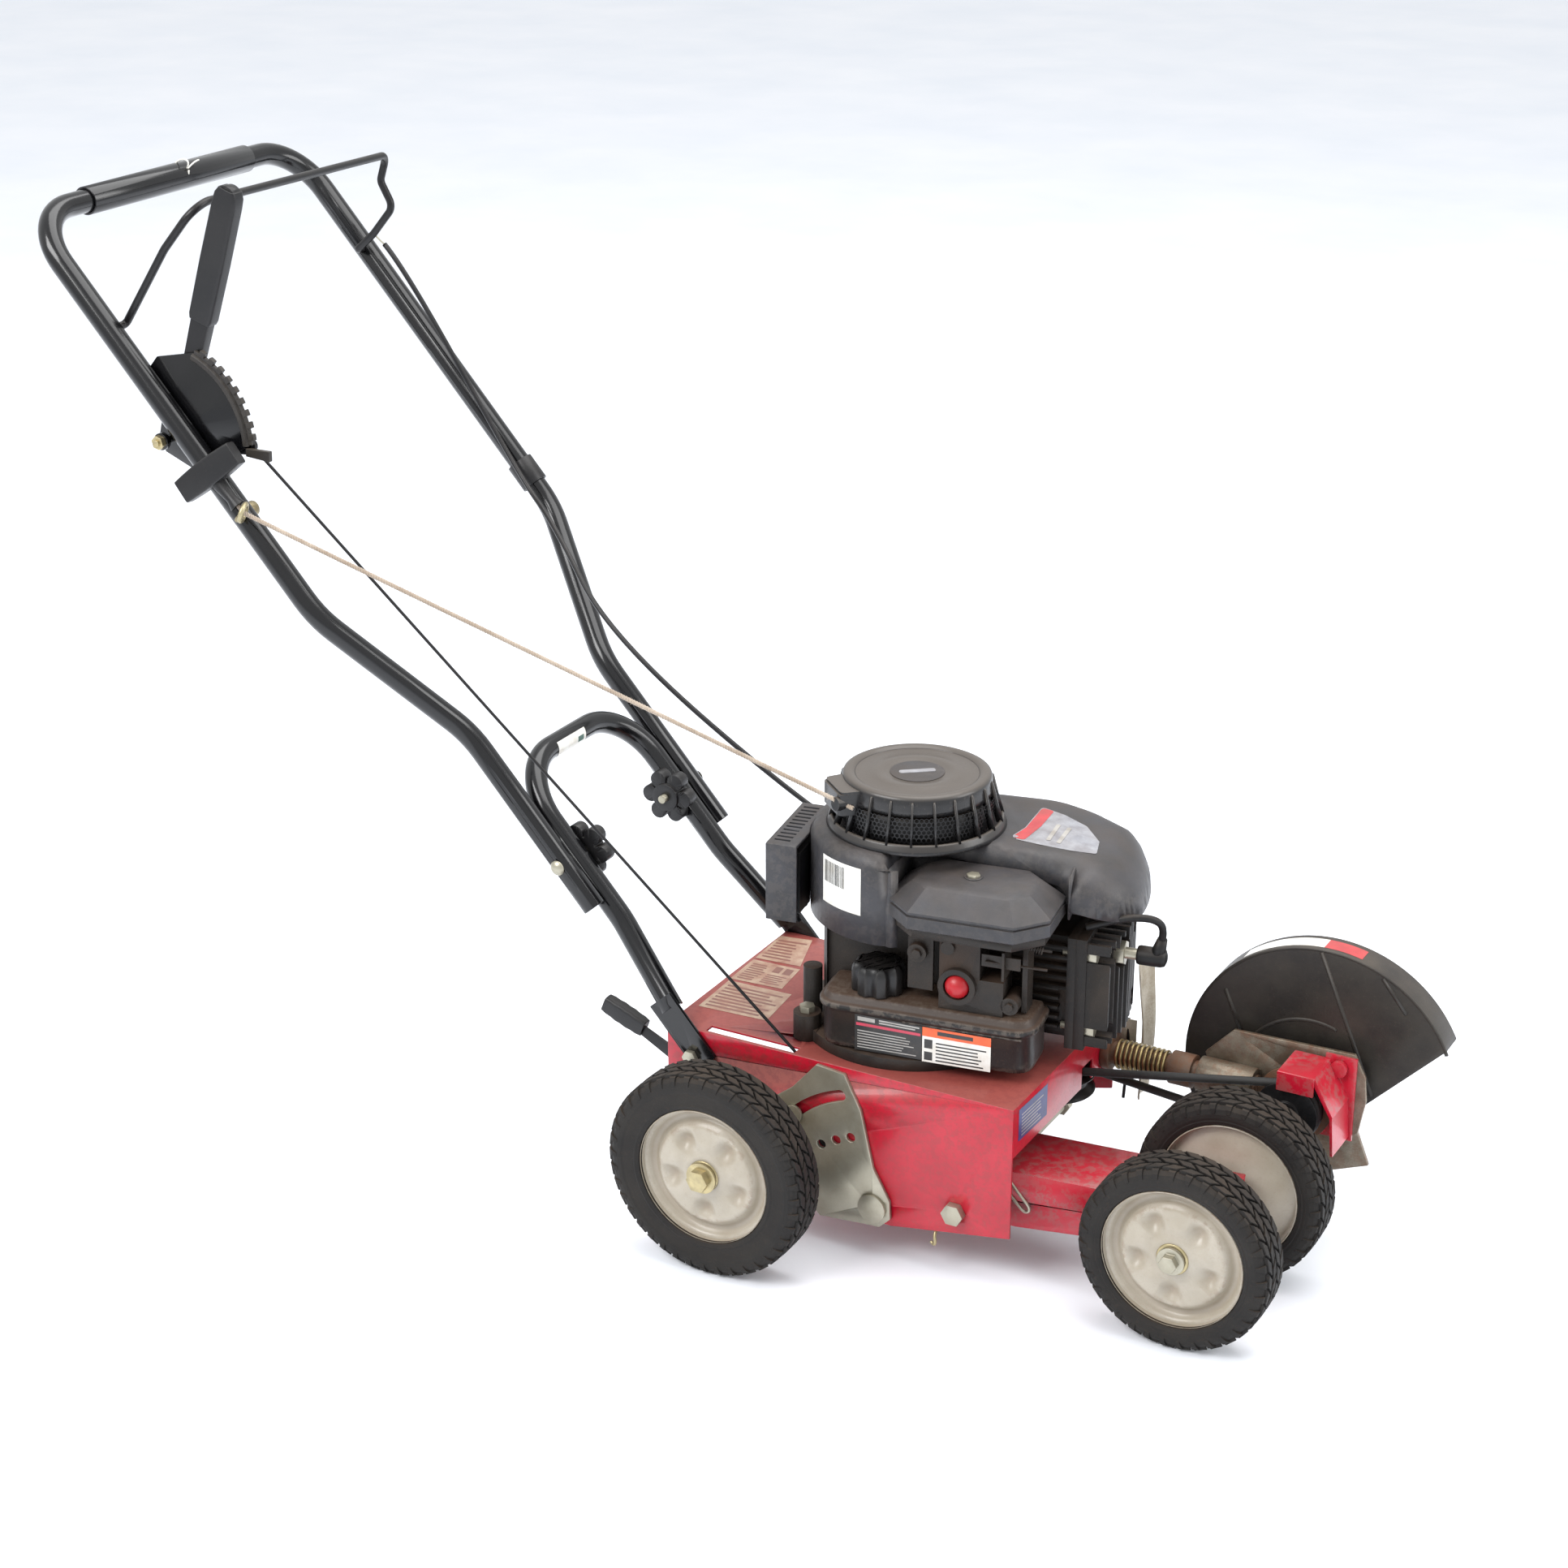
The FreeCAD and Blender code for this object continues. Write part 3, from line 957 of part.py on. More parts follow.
shaped("blade_shaft", shaft.multiFuse([disc, nut, hub]))
blade = box_between((-V["blade_half"], 0, -V["blade_wide"] / 2), (V["blade_half"], 4.5, V["blade_wide"] / 2))
blade = blade.cut(Part.makeCylinder(V["spindle_r"] + 0.02, 10, Vector(0, -2, 0), Y_AXIS))
blade.rotate(Vector(0, 0, 0), Y_AXIS, 68.0)
blade.translate(Vector(spindle_x, 139.8, spindle_z))
shaped("blade", blade)

# ---------------------------------------------------------------- chassis bolts
fasteners = list(fold_bolts) + [rear_left_axle]
fasteners.append(round_y(curb_x, curb_z, 6.35, -plate_outer - 0.3, -104).fuse(
    round_y(curb_x, curb_z, 14.0, -plate_outer - 3.5, -plate_outer - 0.2)))
fasteners.append(round_y(arm_pivot.x, arm_pivot.z, 6.35, -half - 0.2, half + 0.2).multiFuse([
    hexagon((arm_pivot.x, -half - 0.1, arm_pivot.z), (0, -1, 0), 19.0, 8.0),
    hexagon((arm_pivot.x, half + 0.1, arm_pivot.z), (0, 1, 0), 19.0, 8.0)]))
guide = around_pivot(137.0)
fasteners.append(round_y(guide.x, guide.z, 4.0, -plate_outer - 0.3, -half).fuse(
    round_y(guide.x, guide.z, 9.0, -plate_outer - 3.0, -plate_outer - 0.3)))
for side in (-1, 1):
    outer_face = half + V["body_gap"] + 3.6
    head_at = (6, side * (outer_face + 0.1), 158)
    foot_bolt = bolt(head_at, (0, side, 0), 4.0, outer_face - half + 10, 13.0, 5.0)
    fasteners.append(foot_bolt)
idler_shank = Part.makeCylinder(5.0, 74, Vector(idler_x, idler_y, 106))
idler_spacer = Part.makeCylinder(8, 46.5, Vector(idler_x, idler_y, 136))
fasteners.append(idler_shank.multiFuse([hexagon((idler_x, idler_y, 103), (0, 0, 1), 15, 5), idler_spacer]))
shaped("chassis_bolts", Part.makeCompound(fasteners))

# ---------------------------------------------------------------- rope, grip, cable
rope_out = (rope_far - exit_point).normalize()
rope_solid = bar(exit_point + rope_out * -6, rope_far, V["rope_r"])
shaped("starter_rope", rope_solid)
grip_at = Vector(-437.2, -219.0, 689.6)
grip_dir = Vector(0.75, 0.2, 0.59).normalize()
grip_side = lean.cross(grip_dir).normalize()
grip_bar = Part.makeBox(68, 17, 26, Vector(-34, -8.5, -13))
grip_bar = grip_bar.makeFillet(6, grip_bar.Edges)
grip_bar.Placement = Placement(grip_at, Rotation(grip_dir, grip_side, grip_dir.cross(grip_side), "XYZ"))
neck_end = grip_at + (eye_at - grip_at) * 0.6
shaped("starter_grip", grip_bar.fuse(bar(grip_at, neck_end, 6.0)))
cable_r = 2.6
cable_points = [(-527, 186, 812), (-500, 184.2, 788), tuple(on_handle(540, 197.5 - tube_r - 3.2)),
                (-300, 140, 560), (-201, 80, 478), (14, 102, 327), (110, 112, 290), (176, 96, 268)]
shaped("control_cable", tube(cable_points, [40, 90, 60, 80, 120, 40], cable_r))

# ---------------------------------------------------------------- checks and export
doc.recompute()
for obj in doc.Objects:
    bad = [state for state in obj.State if state in ("Invalid", "Error")]
    if bad:
        raise RuntimeError(f"{obj.Name} {obj.Label}: {obj.State}")
for obj in finished:
    shape = obj.Shape
    if shape.isNull() or not shape.isValid() or not shape.Solids:
        raise RuntimeError(f"{obj.Label}: the shape is not a valid solid")
    shape.exportStep(f"parts/{obj.Label}.step")
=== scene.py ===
import json
import math
import random

import bmesh
import bpy
from mathutils import Matrix, Vector
from mathutils.geometry import delaunay_2d_cdt


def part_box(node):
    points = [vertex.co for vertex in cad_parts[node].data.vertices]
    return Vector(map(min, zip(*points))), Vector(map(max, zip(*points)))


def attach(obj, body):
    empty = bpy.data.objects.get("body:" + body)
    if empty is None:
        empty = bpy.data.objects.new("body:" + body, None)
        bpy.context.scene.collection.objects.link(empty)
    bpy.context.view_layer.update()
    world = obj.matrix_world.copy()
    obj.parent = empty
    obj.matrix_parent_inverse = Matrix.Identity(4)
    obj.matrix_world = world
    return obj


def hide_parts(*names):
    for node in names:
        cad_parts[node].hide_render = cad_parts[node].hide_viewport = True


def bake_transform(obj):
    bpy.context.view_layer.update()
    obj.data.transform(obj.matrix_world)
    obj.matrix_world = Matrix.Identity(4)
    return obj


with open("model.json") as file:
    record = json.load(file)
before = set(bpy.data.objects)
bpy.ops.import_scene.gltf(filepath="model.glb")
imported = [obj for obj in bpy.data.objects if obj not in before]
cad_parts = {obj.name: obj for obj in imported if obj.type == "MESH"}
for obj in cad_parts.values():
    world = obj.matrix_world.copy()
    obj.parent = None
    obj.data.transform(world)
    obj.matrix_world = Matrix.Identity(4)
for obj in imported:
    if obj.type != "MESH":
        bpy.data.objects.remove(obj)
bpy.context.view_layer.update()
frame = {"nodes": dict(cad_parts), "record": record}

MM = 0.001
NODES = frame["nodes"]
SCENE = bpy.context.scene


# ---- colours and materials
def colour(r, g, b):
    """An 8-bit screen colour as linear RGBA."""
    channels = []
    for value in (r, g, b):
        value /= 255
        channels.append(value / 12.92 if value <= 0.04045 else ((value + 0.055) / 1.055) ** 2.4)
    return (*channels, 1.0)


class Net:
    """A material's node tree with short calls for the nodes used here."""

    def __init__(self, name):
        self.material = bpy.data.materials.new(name)
        self.material.use_nodes = True
        self.tree = self.material.node_tree
        self.shader = self.tree.nodes["Principled BSDF"]
        self.place = self.tree.nodes.new("ShaderNodeTexCoord").outputs["Object"]

    def put(self, kind, **inputs):
        node = self.tree.nodes.new(kind)
        for key, value in inputs.items():
            self.feed(node.inputs[key.replace("_", " ")], value)
        return node

    def feed(self, socket, value):
        if isinstance(value, bpy.types.NodeSocket):
            self.tree.links.new(value, socket)
        else:
            socket.default_value = value

    def noise(self, scale, detail=3.0, rough=0.55, stretch=None):
        where = self.place
        if stretch:
            where = self.put("ShaderNodeMapping", Vector=where, Scale=stretch).outputs[0]
        return self.put("ShaderNodeTexNoise", Vector=where, Scale=scale, Detail=detail,
                        Roughness=rough).outputs["Fac"]

    def ramp(self, fac, low, high):
        node = self.put("ShaderNodeMapRange", Value=fac)
        node.inputs["From Min"].default_value = low
        node.inputs["From Max"].default_value = high
        return node.outputs["Result"]

    def math(self, kind, a, b=0.0):
        node = self.tree.nodes.new("ShaderNodeMath")
        node.operation = kind
        self.feed(node.inputs[0], a)
        self.feed(node.inputs[1], b)
        return node.outputs[0]

    def mix(self, fac, a, b):
        node = self.tree.nodes.new("ShaderNodeMix")
        node.data_type = "RGBA"
        self.feed(node.inputs["Factor"], fac)
        self.feed(node.inputs[6], a)
        self.feed(node.inputs[7], b)
        return node.outputs[2]

    def finish(self, base, rough, height=None, strength=0.2, metal=0.0, coat=0.0, sheen=0.0, spec=0.5):
        for socket, value in (("Base Color", base), ("Roughness", rough), ("Metallic", metal),
                              ("Coat Weight", coat), ("Coat Roughness", 0.12), ("Sheen Weight", sheen),
                              ("Specular IOR Level", spec)):
            self.feed(self.shader.inputs[socket], value)
        if height is not None:
            bump = self.put("ShaderNodeBump", Height=height, Strength=strength, Distance=0.001)
            self.feed(self.shader.inputs["Normal"], bump.outputs[0])
        return self.material


M = {}  # materials by name


def surface(name, base, other, rough, metal=0.0, blotch=28.0, grain=700.0, grain_mix=0.25, dust=None,
            wear=None, coat=0.0, bump=0.12, streaks=None, sheen=0.0, dust_even=False, spec=0.5):
    """A worn surface: two mottled tones, fine grain, dust on faces that look up, wear on edges.

    Tones are 8-bit screen colours; dust and wear end in their amount, and dust_even lays dust more evenly.
    The material is kept in M under its name.
    """
    net = Net(name)
    base, other = colour(*base), colour(*other)
    blotches = net.noise(blotch, 5.0)
    fine = net.noise(grain, 4.0)
    body = net.mix(net.ramp(blotches, 0.36, 0.66), base, other)
    body = net.mix(net.math("MULTIPLY", net.ramp(fine, 0.4, 0.75), grain_mix), body, other)
    rough_out = net.math("ADD", net.math("MULTIPLY", fine, 0.16), rough - 0.08)
    geometry = net.tree.nodes.new("ShaderNodeNewGeometry")
    if streaks:
        lines = net.noise(60.0, 3.0, stretch=(1.0, 1.0, 22.0))
        body = net.mix(net.math("MULTIPLY", net.ramp(lines, 0.6, 0.75), 0.5), body, colour(*streaks))
    if dust:
        dust_amount = dust[3]
        normal = net.put("ShaderNodeSeparateXYZ", Vector=geometry.outputs["Normal"]).outputs["Z"]
        patches = net.ramp(net.noise(30.0, 6.0, 0.6), 0.25, 0.8)
        if dust_even:
            patches = net.math("MAXIMUM", patches, 0.8)
        lying = net.math("MULTIPLY", net.ramp(normal, 0.25, 0.95), patches)
        corners = net.ramp(geometry.outputs["Pointiness"], 0.495, 0.44)
        amount = net.math("MULTIPLY", net.math("MAXIMUM", lying, net.math("MULTIPLY", corners, 0.8)),
                          dust_amount)
        speck = net.math("MULTIPLY", net.ramp(net.noise(320.0, 2.0), 0.6, 0.68), dust_amount * 0.2)
        amount = net.math("MAXIMUM", amount, speck)
        body = net.mix(amount, body, colour(*dust[:3]))
        rough_out = net.math("ADD", rough_out, net.math("MULTIPLY", amount, 0.35))
    if wear:
        edges = net.ramp(geometry.outputs["Pointiness"], 0.515, 0.56)
        chips = net.ramp(net.noise(130.0, 5.0, 0.7), 0.47, 0.56)
        body = net.mix(net.math("MULTIPLY", net.math("MULTIPLY", edges, chips), wear[3]), body,
                       colour(*wear[:3]))
    M[name] = net.finish(body, rough_out, fine, bump, metal, coat, sheen, spec)


BROWN = (120, 96, 74)
RUST = (112, 66, 40)
surface("red_paint", (178, 14, 40), (166, 12, 36), 0.32, coat=0.25, bump=0.03, grain_mix=0.1,
        dust=(116, 52, 50, 0.55), wear=(120, 100, 94, 0.4))
surface("deck_red", (178, 14, 40), (166, 12, 36), 0.32, coat=0.25, bump=0.03, grain_mix=0.1,
        dust=(120, 70, 58, 0.95), dust_even=True, wear=(110, 40, 40, 0.5))
surface("black_paint", (7, 7, 9), (11, 11, 13), 0.2, coat=0.35, bump=0.004, grain_mix=0.1, spec=0.35)
surface("guard_black", (37, 34, 32), (50, 46, 41), 0.42, bump=0.08, streaks=(54, 49, 43),
        dust=(104, 92, 80, 0.3), spec=0.35)
surface("cream_paint", (170, 162, 148), (156, 147, 131), 0.32, coat=0.15, bump=0.06, grain_mix=0.35,
        dust=(120, 98, 74, 0.5), wear=(112, 84, 60, 0.5))
surface("tyre_rubber", (24, 22, 21), (34, 31, 28), 0.7, bump=0.2, grain=900.0, dust=(84, 68, 54, 0.45),
        spec=0.3)
surface("soft_rubber", (11, 11, 12), (17, 17, 17), 0.5, bump=0.1, dust=(*BROWN, 0.2), spec=0.35)
surface("primer_red", (178, 20, 32), (150, 16, 26), 0.35, bump=0.05, dust=(*BROWN, 0.2))
surface("shroud_plastic", (55, 55, 59), (47, 46, 47), 0.42, bump=0.2, grain=1500.0, grain_mix=0.15,
        dust=(86, 72, 60, 0.4), wear=(88, 82, 78, 0.25), spec=0.4)
surface("gloss_plastic", (26, 26, 28), (32, 31, 31), 0.3, bump=0.04, coat=0.15, grain_mix=0.1,
        dust=(112, 102, 92, 0.5), dust_even=True, spec=0.4)
surface("tank_plastic", (26, 25, 25), (34, 31, 29), 0.4, bump=0.1, grain_mix=0.2, dust=(78, 58, 44, 0.9),
        dust_even=True, wear=(110, 100, 90, 0.4), spec=0.4)
surface("grip_plastic", (16, 16, 18), (24, 23, 24), 0.38, bump=0.12, grain=1200.0, grain_mix=0.15,
        dust=(84, 76, 68, 0.15), spec=0.4)
surface("cast_alloy", (22, 21, 21), (34, 30, 27), 0.48, metal=0.2, bump=0.3, grain=900.0,
        dust=(84, 64, 48, 0.55), spec=0.4)
surface("dark_case", (28, 25, 23), (44, 37, 31), 0.5, metal=0.1, bump=0.3, grain=900.0,
        dust=(82, 60, 45, 0.65), spec=0.4)
surface("zinc", (176, 172, 156), (156, 151, 134), 0.34, metal=0.7, bump=0.08, blotch=30.0, grain_mix=0.25,
        dust=(118, 100, 76, 0.3))
surface("steel", (140, 132, 118), (108, 96, 82), 0.42, metal=0.6, bump=0.2, blotch=50.0, grain_mix=0.5,
        dust=(104, 84, 62, 0.5), wear=(*RUST, 0.4))
surface("rusty_steel", (98, 84, 72), (112, 76, 54), 0.6, metal=0.35, bump=0.3, blotch=80.0, grain_mix=0.6,
        dust=(96, 70, 48, 0.5))
surface("dark_steel", (18, 18, 20), (26, 25, 26), 0.34, metal=0.2, bump=0.06, grain_mix=0.15,
        dust=(96, 86, 76, 0.15), spec=0.4)
surface("spring_steel", (184, 166, 118), (130, 112, 78), 0.32, metal=0.85, bump=0.1, blotch=90.0,
        dust=(84, 62, 44, 0.5))
surface("yellow_zinc", (188, 174, 132), (160, 148, 116), 0.34, metal=0.8, bump=0.08, blotch=120.0,
        dust=(110, 92, 66, 0.3))
surface("brass_ring", (176, 166, 132), (124, 112, 84), 0.4, metal=0.7, bump=0.15)
surface("rope_fibre", (186, 172, 156), (140, 122, 104), 0.9, bump=0.6, grain=2400.0, grain_mix=0.7, sheen=0.4)
surface("flap_sheet", (190, 182, 166), (150, 138, 118), 0.62, bump=0.35, blotch=40.0, grain_mix=0.6,
        dust=(116, 96, 72, 0.5))
surface("belt_rubber", (28, 28, 28), (44, 42, 40), 0.66, bump=0.4, grain=1500.0)
LABEL_TONES = {
    "white": ((226, 226, 222), (206, 202, 192)), "black": ((30, 30, 31), (44, 42, 40)),
    "grey": ((170, 168, 164), (140, 136, 130)), "pink": ((190, 60, 82), (168, 52, 70)),
    "orange": ((226, 96, 44), (206, 84, 40)), "red": ((190, 40, 52), (164, 36, 46)),
    "silver": ((150, 152, 158), (120, 120, 126)), "blue": ((44, 58, 118), (36, 48, 98)),
    "green": ((46, 84, 74), (60, 96, 86)), "worn": ((178, 154, 132), (146, 104, 88)),
    "worn_dark": ((110, 66, 60), (128, 84, 74)),
}
for name, (tone, other) in LABEL_TONES.items():
    surface("label_" + name, tone, other, 0.38, coat=0.15, bump=0.03, blotch=70.0, grain_mix=0.3,
            dust=(122, 104, 86, 0.35))
CAD_LOOK = {name: look for look,
            names in {"deck_red": ["deck_pan"], "dark_case": ["crankcase", "carburettor"],
                      "cast_alloy": ["cylinder", "cylinder_head"],
                      "zinc": ["spark_plug", "engine_bolts", "chassis_bolts", "front_axle", "curb_bracket"],
                      "shroud_plastic": ["muffler_guard"], "black_paint": ["handle_grip", "quadrant"],
                      "brass_ring": ["rope_eye"], "rusty_steel": ["blade_arm", "blade_shaft"],
                      "yellow_zinc": ["rear_right_axle"],
                      "dark_steel": ["curb_lever", "bail", "depth_lever"], }.items() for name in names}


def assign(piece, material):
    piece.data.materials.clear()
    piece.data.materials.append(M[material])


def soften(piece, width, angle=32.0):
    """Small rounded edges that catch the light."""
    weld = piece.modifiers.new("weld", "WELD")
    weld.merge_threshold = 0.00001
    bevel = piece.modifiers.new("edges", "BEVEL")
    bevel.width = width
    bevel.segments = 2
    bevel.limit_method = "ANGLE"
    bevel.angle_limit = math.radians(angle)
    bevel.harden_normals = True
    for polygon in piece.data.polygons:
        polygon.use_smooth = True


SLOTS = {row["node"]: row["material_slot"] for row in frame["record"]["subparts"]}
for name, node in NODES.items():
    assign(node, CAD_LOOK.get(name, SLOTS[name]))
    soften(node, 0.002 if name in ("star_knob_right", "star_knob_left", "depth_lever", "muffler_guard")
           else 0.0005)


# ---- mesh helpers
def loose(build, name, material, smooth=True):
    """An object from a builder, not yet on any body."""
    mesh = bpy.data.meshes.new(name)
    mesh.from_pydata([tuple(v * MM) for v in build.verts], [], build.faces)
    for polygon in mesh.polygons:
        polygon.use_smooth = smooth
    piece = bpy.data.objects.new(name, mesh)
    SCENE.collection.objects.link(piece)
    assign(piece, material)
    return piece


def polar(r, t):
    """The point at a radius and a turn."""
    return r * math.cos(t), r * math.sin(t)


def ring(centre, side, across, radius, count):
    """A circle of points about a centre."""
    turns = [2 * math.pi * k / count for k in range(count)]
    return [centre + (side * math.cos(t) + across * math.sin(t)) * radius for t in turns]


class Builder:
    """Collects vertices and faces in millimetres, then makes a piece."""

    def __init__(self):
        self.verts = []
        self.faces = []

    def add(self, verts, faces):
        start = len(self.verts)
        self.verts += [Vector(v) for v in verts]
        self.faces += [[start + i for i in face] for face in faces]

    def loft(self, rings, closed=True, caps=True):
        """Skins rings that all have the same number of points."""
        start = len(self.verts)
        count = len(rings[0])
        for points in rings:
            self.verts += [Vector(p) for p in points]
        span = count if closed else count - 1
        for k in range(len(rings) - 1):
            for i in range(span):
                a = start + k * count + i
                b = start + k * count + (i + 1) % count
                self.faces.append([a, b, b + count, a + count])
        if caps:
            self.faces.append([start + i for i in range(count)][::-1])
            self.faces.append([start + (len(rings) - 1) * count + i for i in range(count)])

    def box(self, low, high):
        (x0, y0, z0), (x1, y1, z1) = low, high
        self.loft([[(x0, y0, z0), (x1, y0, z0), (x1, y1, z0), (x0, y1, z0)],
                   [(x0, y0, z1), (x1, y0, z1), (x1, y1, z1), (x0, y1, z1)]])

    def rod(self, start, end, radius, sides=24, end_radius=None):
        start, end = Vector(start), Vector(end)
        along = (end - start).normalized()
        side = along.orthogonal().normalized()
        across = along.cross(side)
        end_radius = radius if end_radius is None else end_radius
        self.loft([ring(start, side, across, radius, sides), ring(end, side, across, end_radius, sides)])

    def turned(self, profile, centre=(0, 0, 0), axis=(0, 0, 1), segments=64, closed=False):
        """Revolves (radius, height) points about an axis through centre."""
        axis = Vector(axis).normalized()
        side = axis.orthogonal().normalized()
        across = axis.cross(side)
        rings = [ring(Vector(centre) + axis * h, side, across, r, segments) for r, h in profile]
        self.loft(rings + (rings[:1] if closed else []), caps=False)

    def moved(self, matrix):
        self.verts = [matrix @ v for v in self.verts]
        return self

    def piece(self, name, body, material, node=(), smooth=True, edge=0.0, slot=None):
        """A new piece that rides on a body, and stands for a CAD node where one is named."""
        piece = loose(self, name, material, smooth)
        cleaner = bmesh.new()
        cleaner.from_mesh(piece.data)
        bmesh.ops.remove_doubles(cleaner, verts=cleaner.verts, dist=0.000004)
        bmesh.ops.recalc_face_normals(cleaner, faces=cleaner.faces)
        cleaner.to_mesh(piece.data)
        cleaner.free()
        if edge:
            soften(piece, edge, angle=25.0)
        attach(piece, body)
        if node:
            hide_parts(node)
        return piece


def neighbours(points):
    """Each point of a closed outline, between the one before it and the one after it."""
    return zip(points[-1:] + points[:-1], points, points[1:] + points[:1])


def mirrored(profile):
    """A (radius, y) profile up to its middle, carried on to the other side."""
    return profile + [(r, -y) for r, y in reversed(profile) if y]


def offset(outline, inset):
    """Moves a closed outline inward by inset, corner by corner."""
    points = [Vector(p[:2]) for p in outline]
    area = sum(a.x * b.y - b.x * a.y for a, b in zip(points, points[1:] + points[:1]))
    sign = 1 if area > 0 else -1
    moved = []
    for before, point, after in neighbours(points):
        first = (point - before).normalized()
        second = (after - point).normalized()
        normal = Vector((-(first.y + second.y), first.x + second.x)) * sign
        if normal.length < 1e-6:
            moved.append(point)
            continue
        normal.normalize()
        spread = max(0.5, normal.dot(Vector((-first.y, first.x)) * sign))
        moved.append(point + normal * (inset / spread))
    return moved


def rounded(corners, radius, steps=5):
    """A closed outline with its corners rounded; radius may be one for each corner."""
    radii = radius if isinstance(radius, (list, tuple)) else [radius] * len(corners)
    result = []
    points = [Vector(p[:2]) for p in corners]
    for (before, point, after), r in zip(neighbours(points), radii):
        if r <= 0:
            result.append(point)
            continue
        inward = (before - point).normalized()
        outward = (after - point).normalized()
        half = inward.angle(outward) / 2
        reach = min(r / math.tan(half), 0.49 * (before - point).length, 0.49 * (after - point).length)
        first, last = point + inward * reach, point + outward * reach
        for k in range(steps + 1):
            t = k / steps
            result.append(first * (1 - t) ** 2 + point * (2 * t * (1 - t)) + last * t ** 2)
    return result


def slab(deep, high, radius, steps=4):
    """A rounded rectangle reaching deep and high to each side of its centre."""
    return rounded([(-deep, -high), (deep, -high), (deep, high), (-deep, high)], radius, steps)


def solid(builder, outline, levels):
    """Lofts an outline through (inset, height) levels."""
    builder.loft([[(p.x, p.y, z) for p in offset(outline, inset)] for inset, z in levels])


CRANK_X, ENGINE_TURN = 178, math.radians(9)
ENGINE = Matrix.Translation((CRANK_X, 0, 0)) @ Matrix.Rotation(ENGINE_TURN, 4, "Z")
ALONG = Vector((-0.6671, 0, 0.7449))  # the handle's own direction
UP, ACROSS = (0, 0, 1), (0, 1, 0)


# ---- wheels
TREAD_WIDTH, TREAD_ROWS, BLOCK_LENGTH = 36.0, 4, 16.0
HALF_WHEEL, RIM_EDGE = 22.0, 65.4


def tyre(name, body, centre, radius):
    """A tyre with rows of slanted blocks and shoulder lugs."""
    build = Builder()
    carcass = [(66, -18), (67.5, -20.6), (71, -21.9), (73, -21.3), (radius - 18, -21.6),
               (radius - 15.5, -22.1), (radius - 12, -21.9), (radius - 7.5, -20.6), (radius - 4.4, -18.2),
               (radius - 3.4, -12), (radius - 3.2, 0)]
    build.turned(mirrored(carcass), axis=ACROSS, segments=120, closed=True)
    count = round(2 * math.pi * radius / BLOCK_LENGTH)
    pitch = 2 * math.pi / count
    row_width = TREAD_WIDTH / TREAD_ROWS
    for k in range(count):
        for row in range(TREAD_ROWS):
            y0 = row * row_width - TREAD_WIDTH / 2 + 1.0
            y1 = y0 + row_width - 2.0
            lean = 0.5 if row % 2 else -0.5
            base = pitch * (k + 0.5 * (row % 2))
            half_turn = pitch * 0.5 - 1.5 / radius
            corners = []
            for y, shift in ((y0, -lean), (y1, lean)):
                signs = (-1, 1) if y == y0 else (1, -1)
                corners += [(y, base + shift * pitch * 0.5 + sign * half_turn) for sign in signs]
            middle_y = sum(y for y, _ in corners) / 4
            middle_t = sum(t for _, t in corners) / 4
            crown = 0.0022 * ((y0 + y1) / 2) ** 2
            rings = []
            for r, shrink in ((radius - 4.6, 1.0), (radius - 0.9 - crown, 0.97),
                              (radius - 0.25 - crown, 0.88)):
                drawn_in = [(middle_y + (y - middle_y) * shrink, middle_t + (t - middle_t) * shrink)
                            for y, t in corners]
                rings.append([(r * math.cos(t), y, r * math.sin(t)) for y, t in drawn_in])
            build.loft(rings)
        for side in (-1, 1):
            turn = pitch * (k + (0.25 if side > 0 else 0.0))
            rings = []
            for r, y, wide in ((radius - 3.0, 17.8, 3.4), (radius - 3.9, 19.6, 3.1),
                               (radius - 7.2, 21.5, 2.6), (radius - 11.5, 22.15, 1.8)):
                corner = []
                for dr, dt in ((0.7, -1), (0.7, 1), (-2.2, 1), (-2.2, -1)):
                    x, z = polar(r + dr, turn + dt * wide / radius)
                    corner.append((x, side * (y - (0 if dr > 0 else 1.5)), z))
                rings.append(corner)
            build.loft(rings)
    build.moved(Matrix.Translation(centre))
    return build.piece(name + "_tread", body, "tyre_rubber", name + "_tyre", smooth=False)


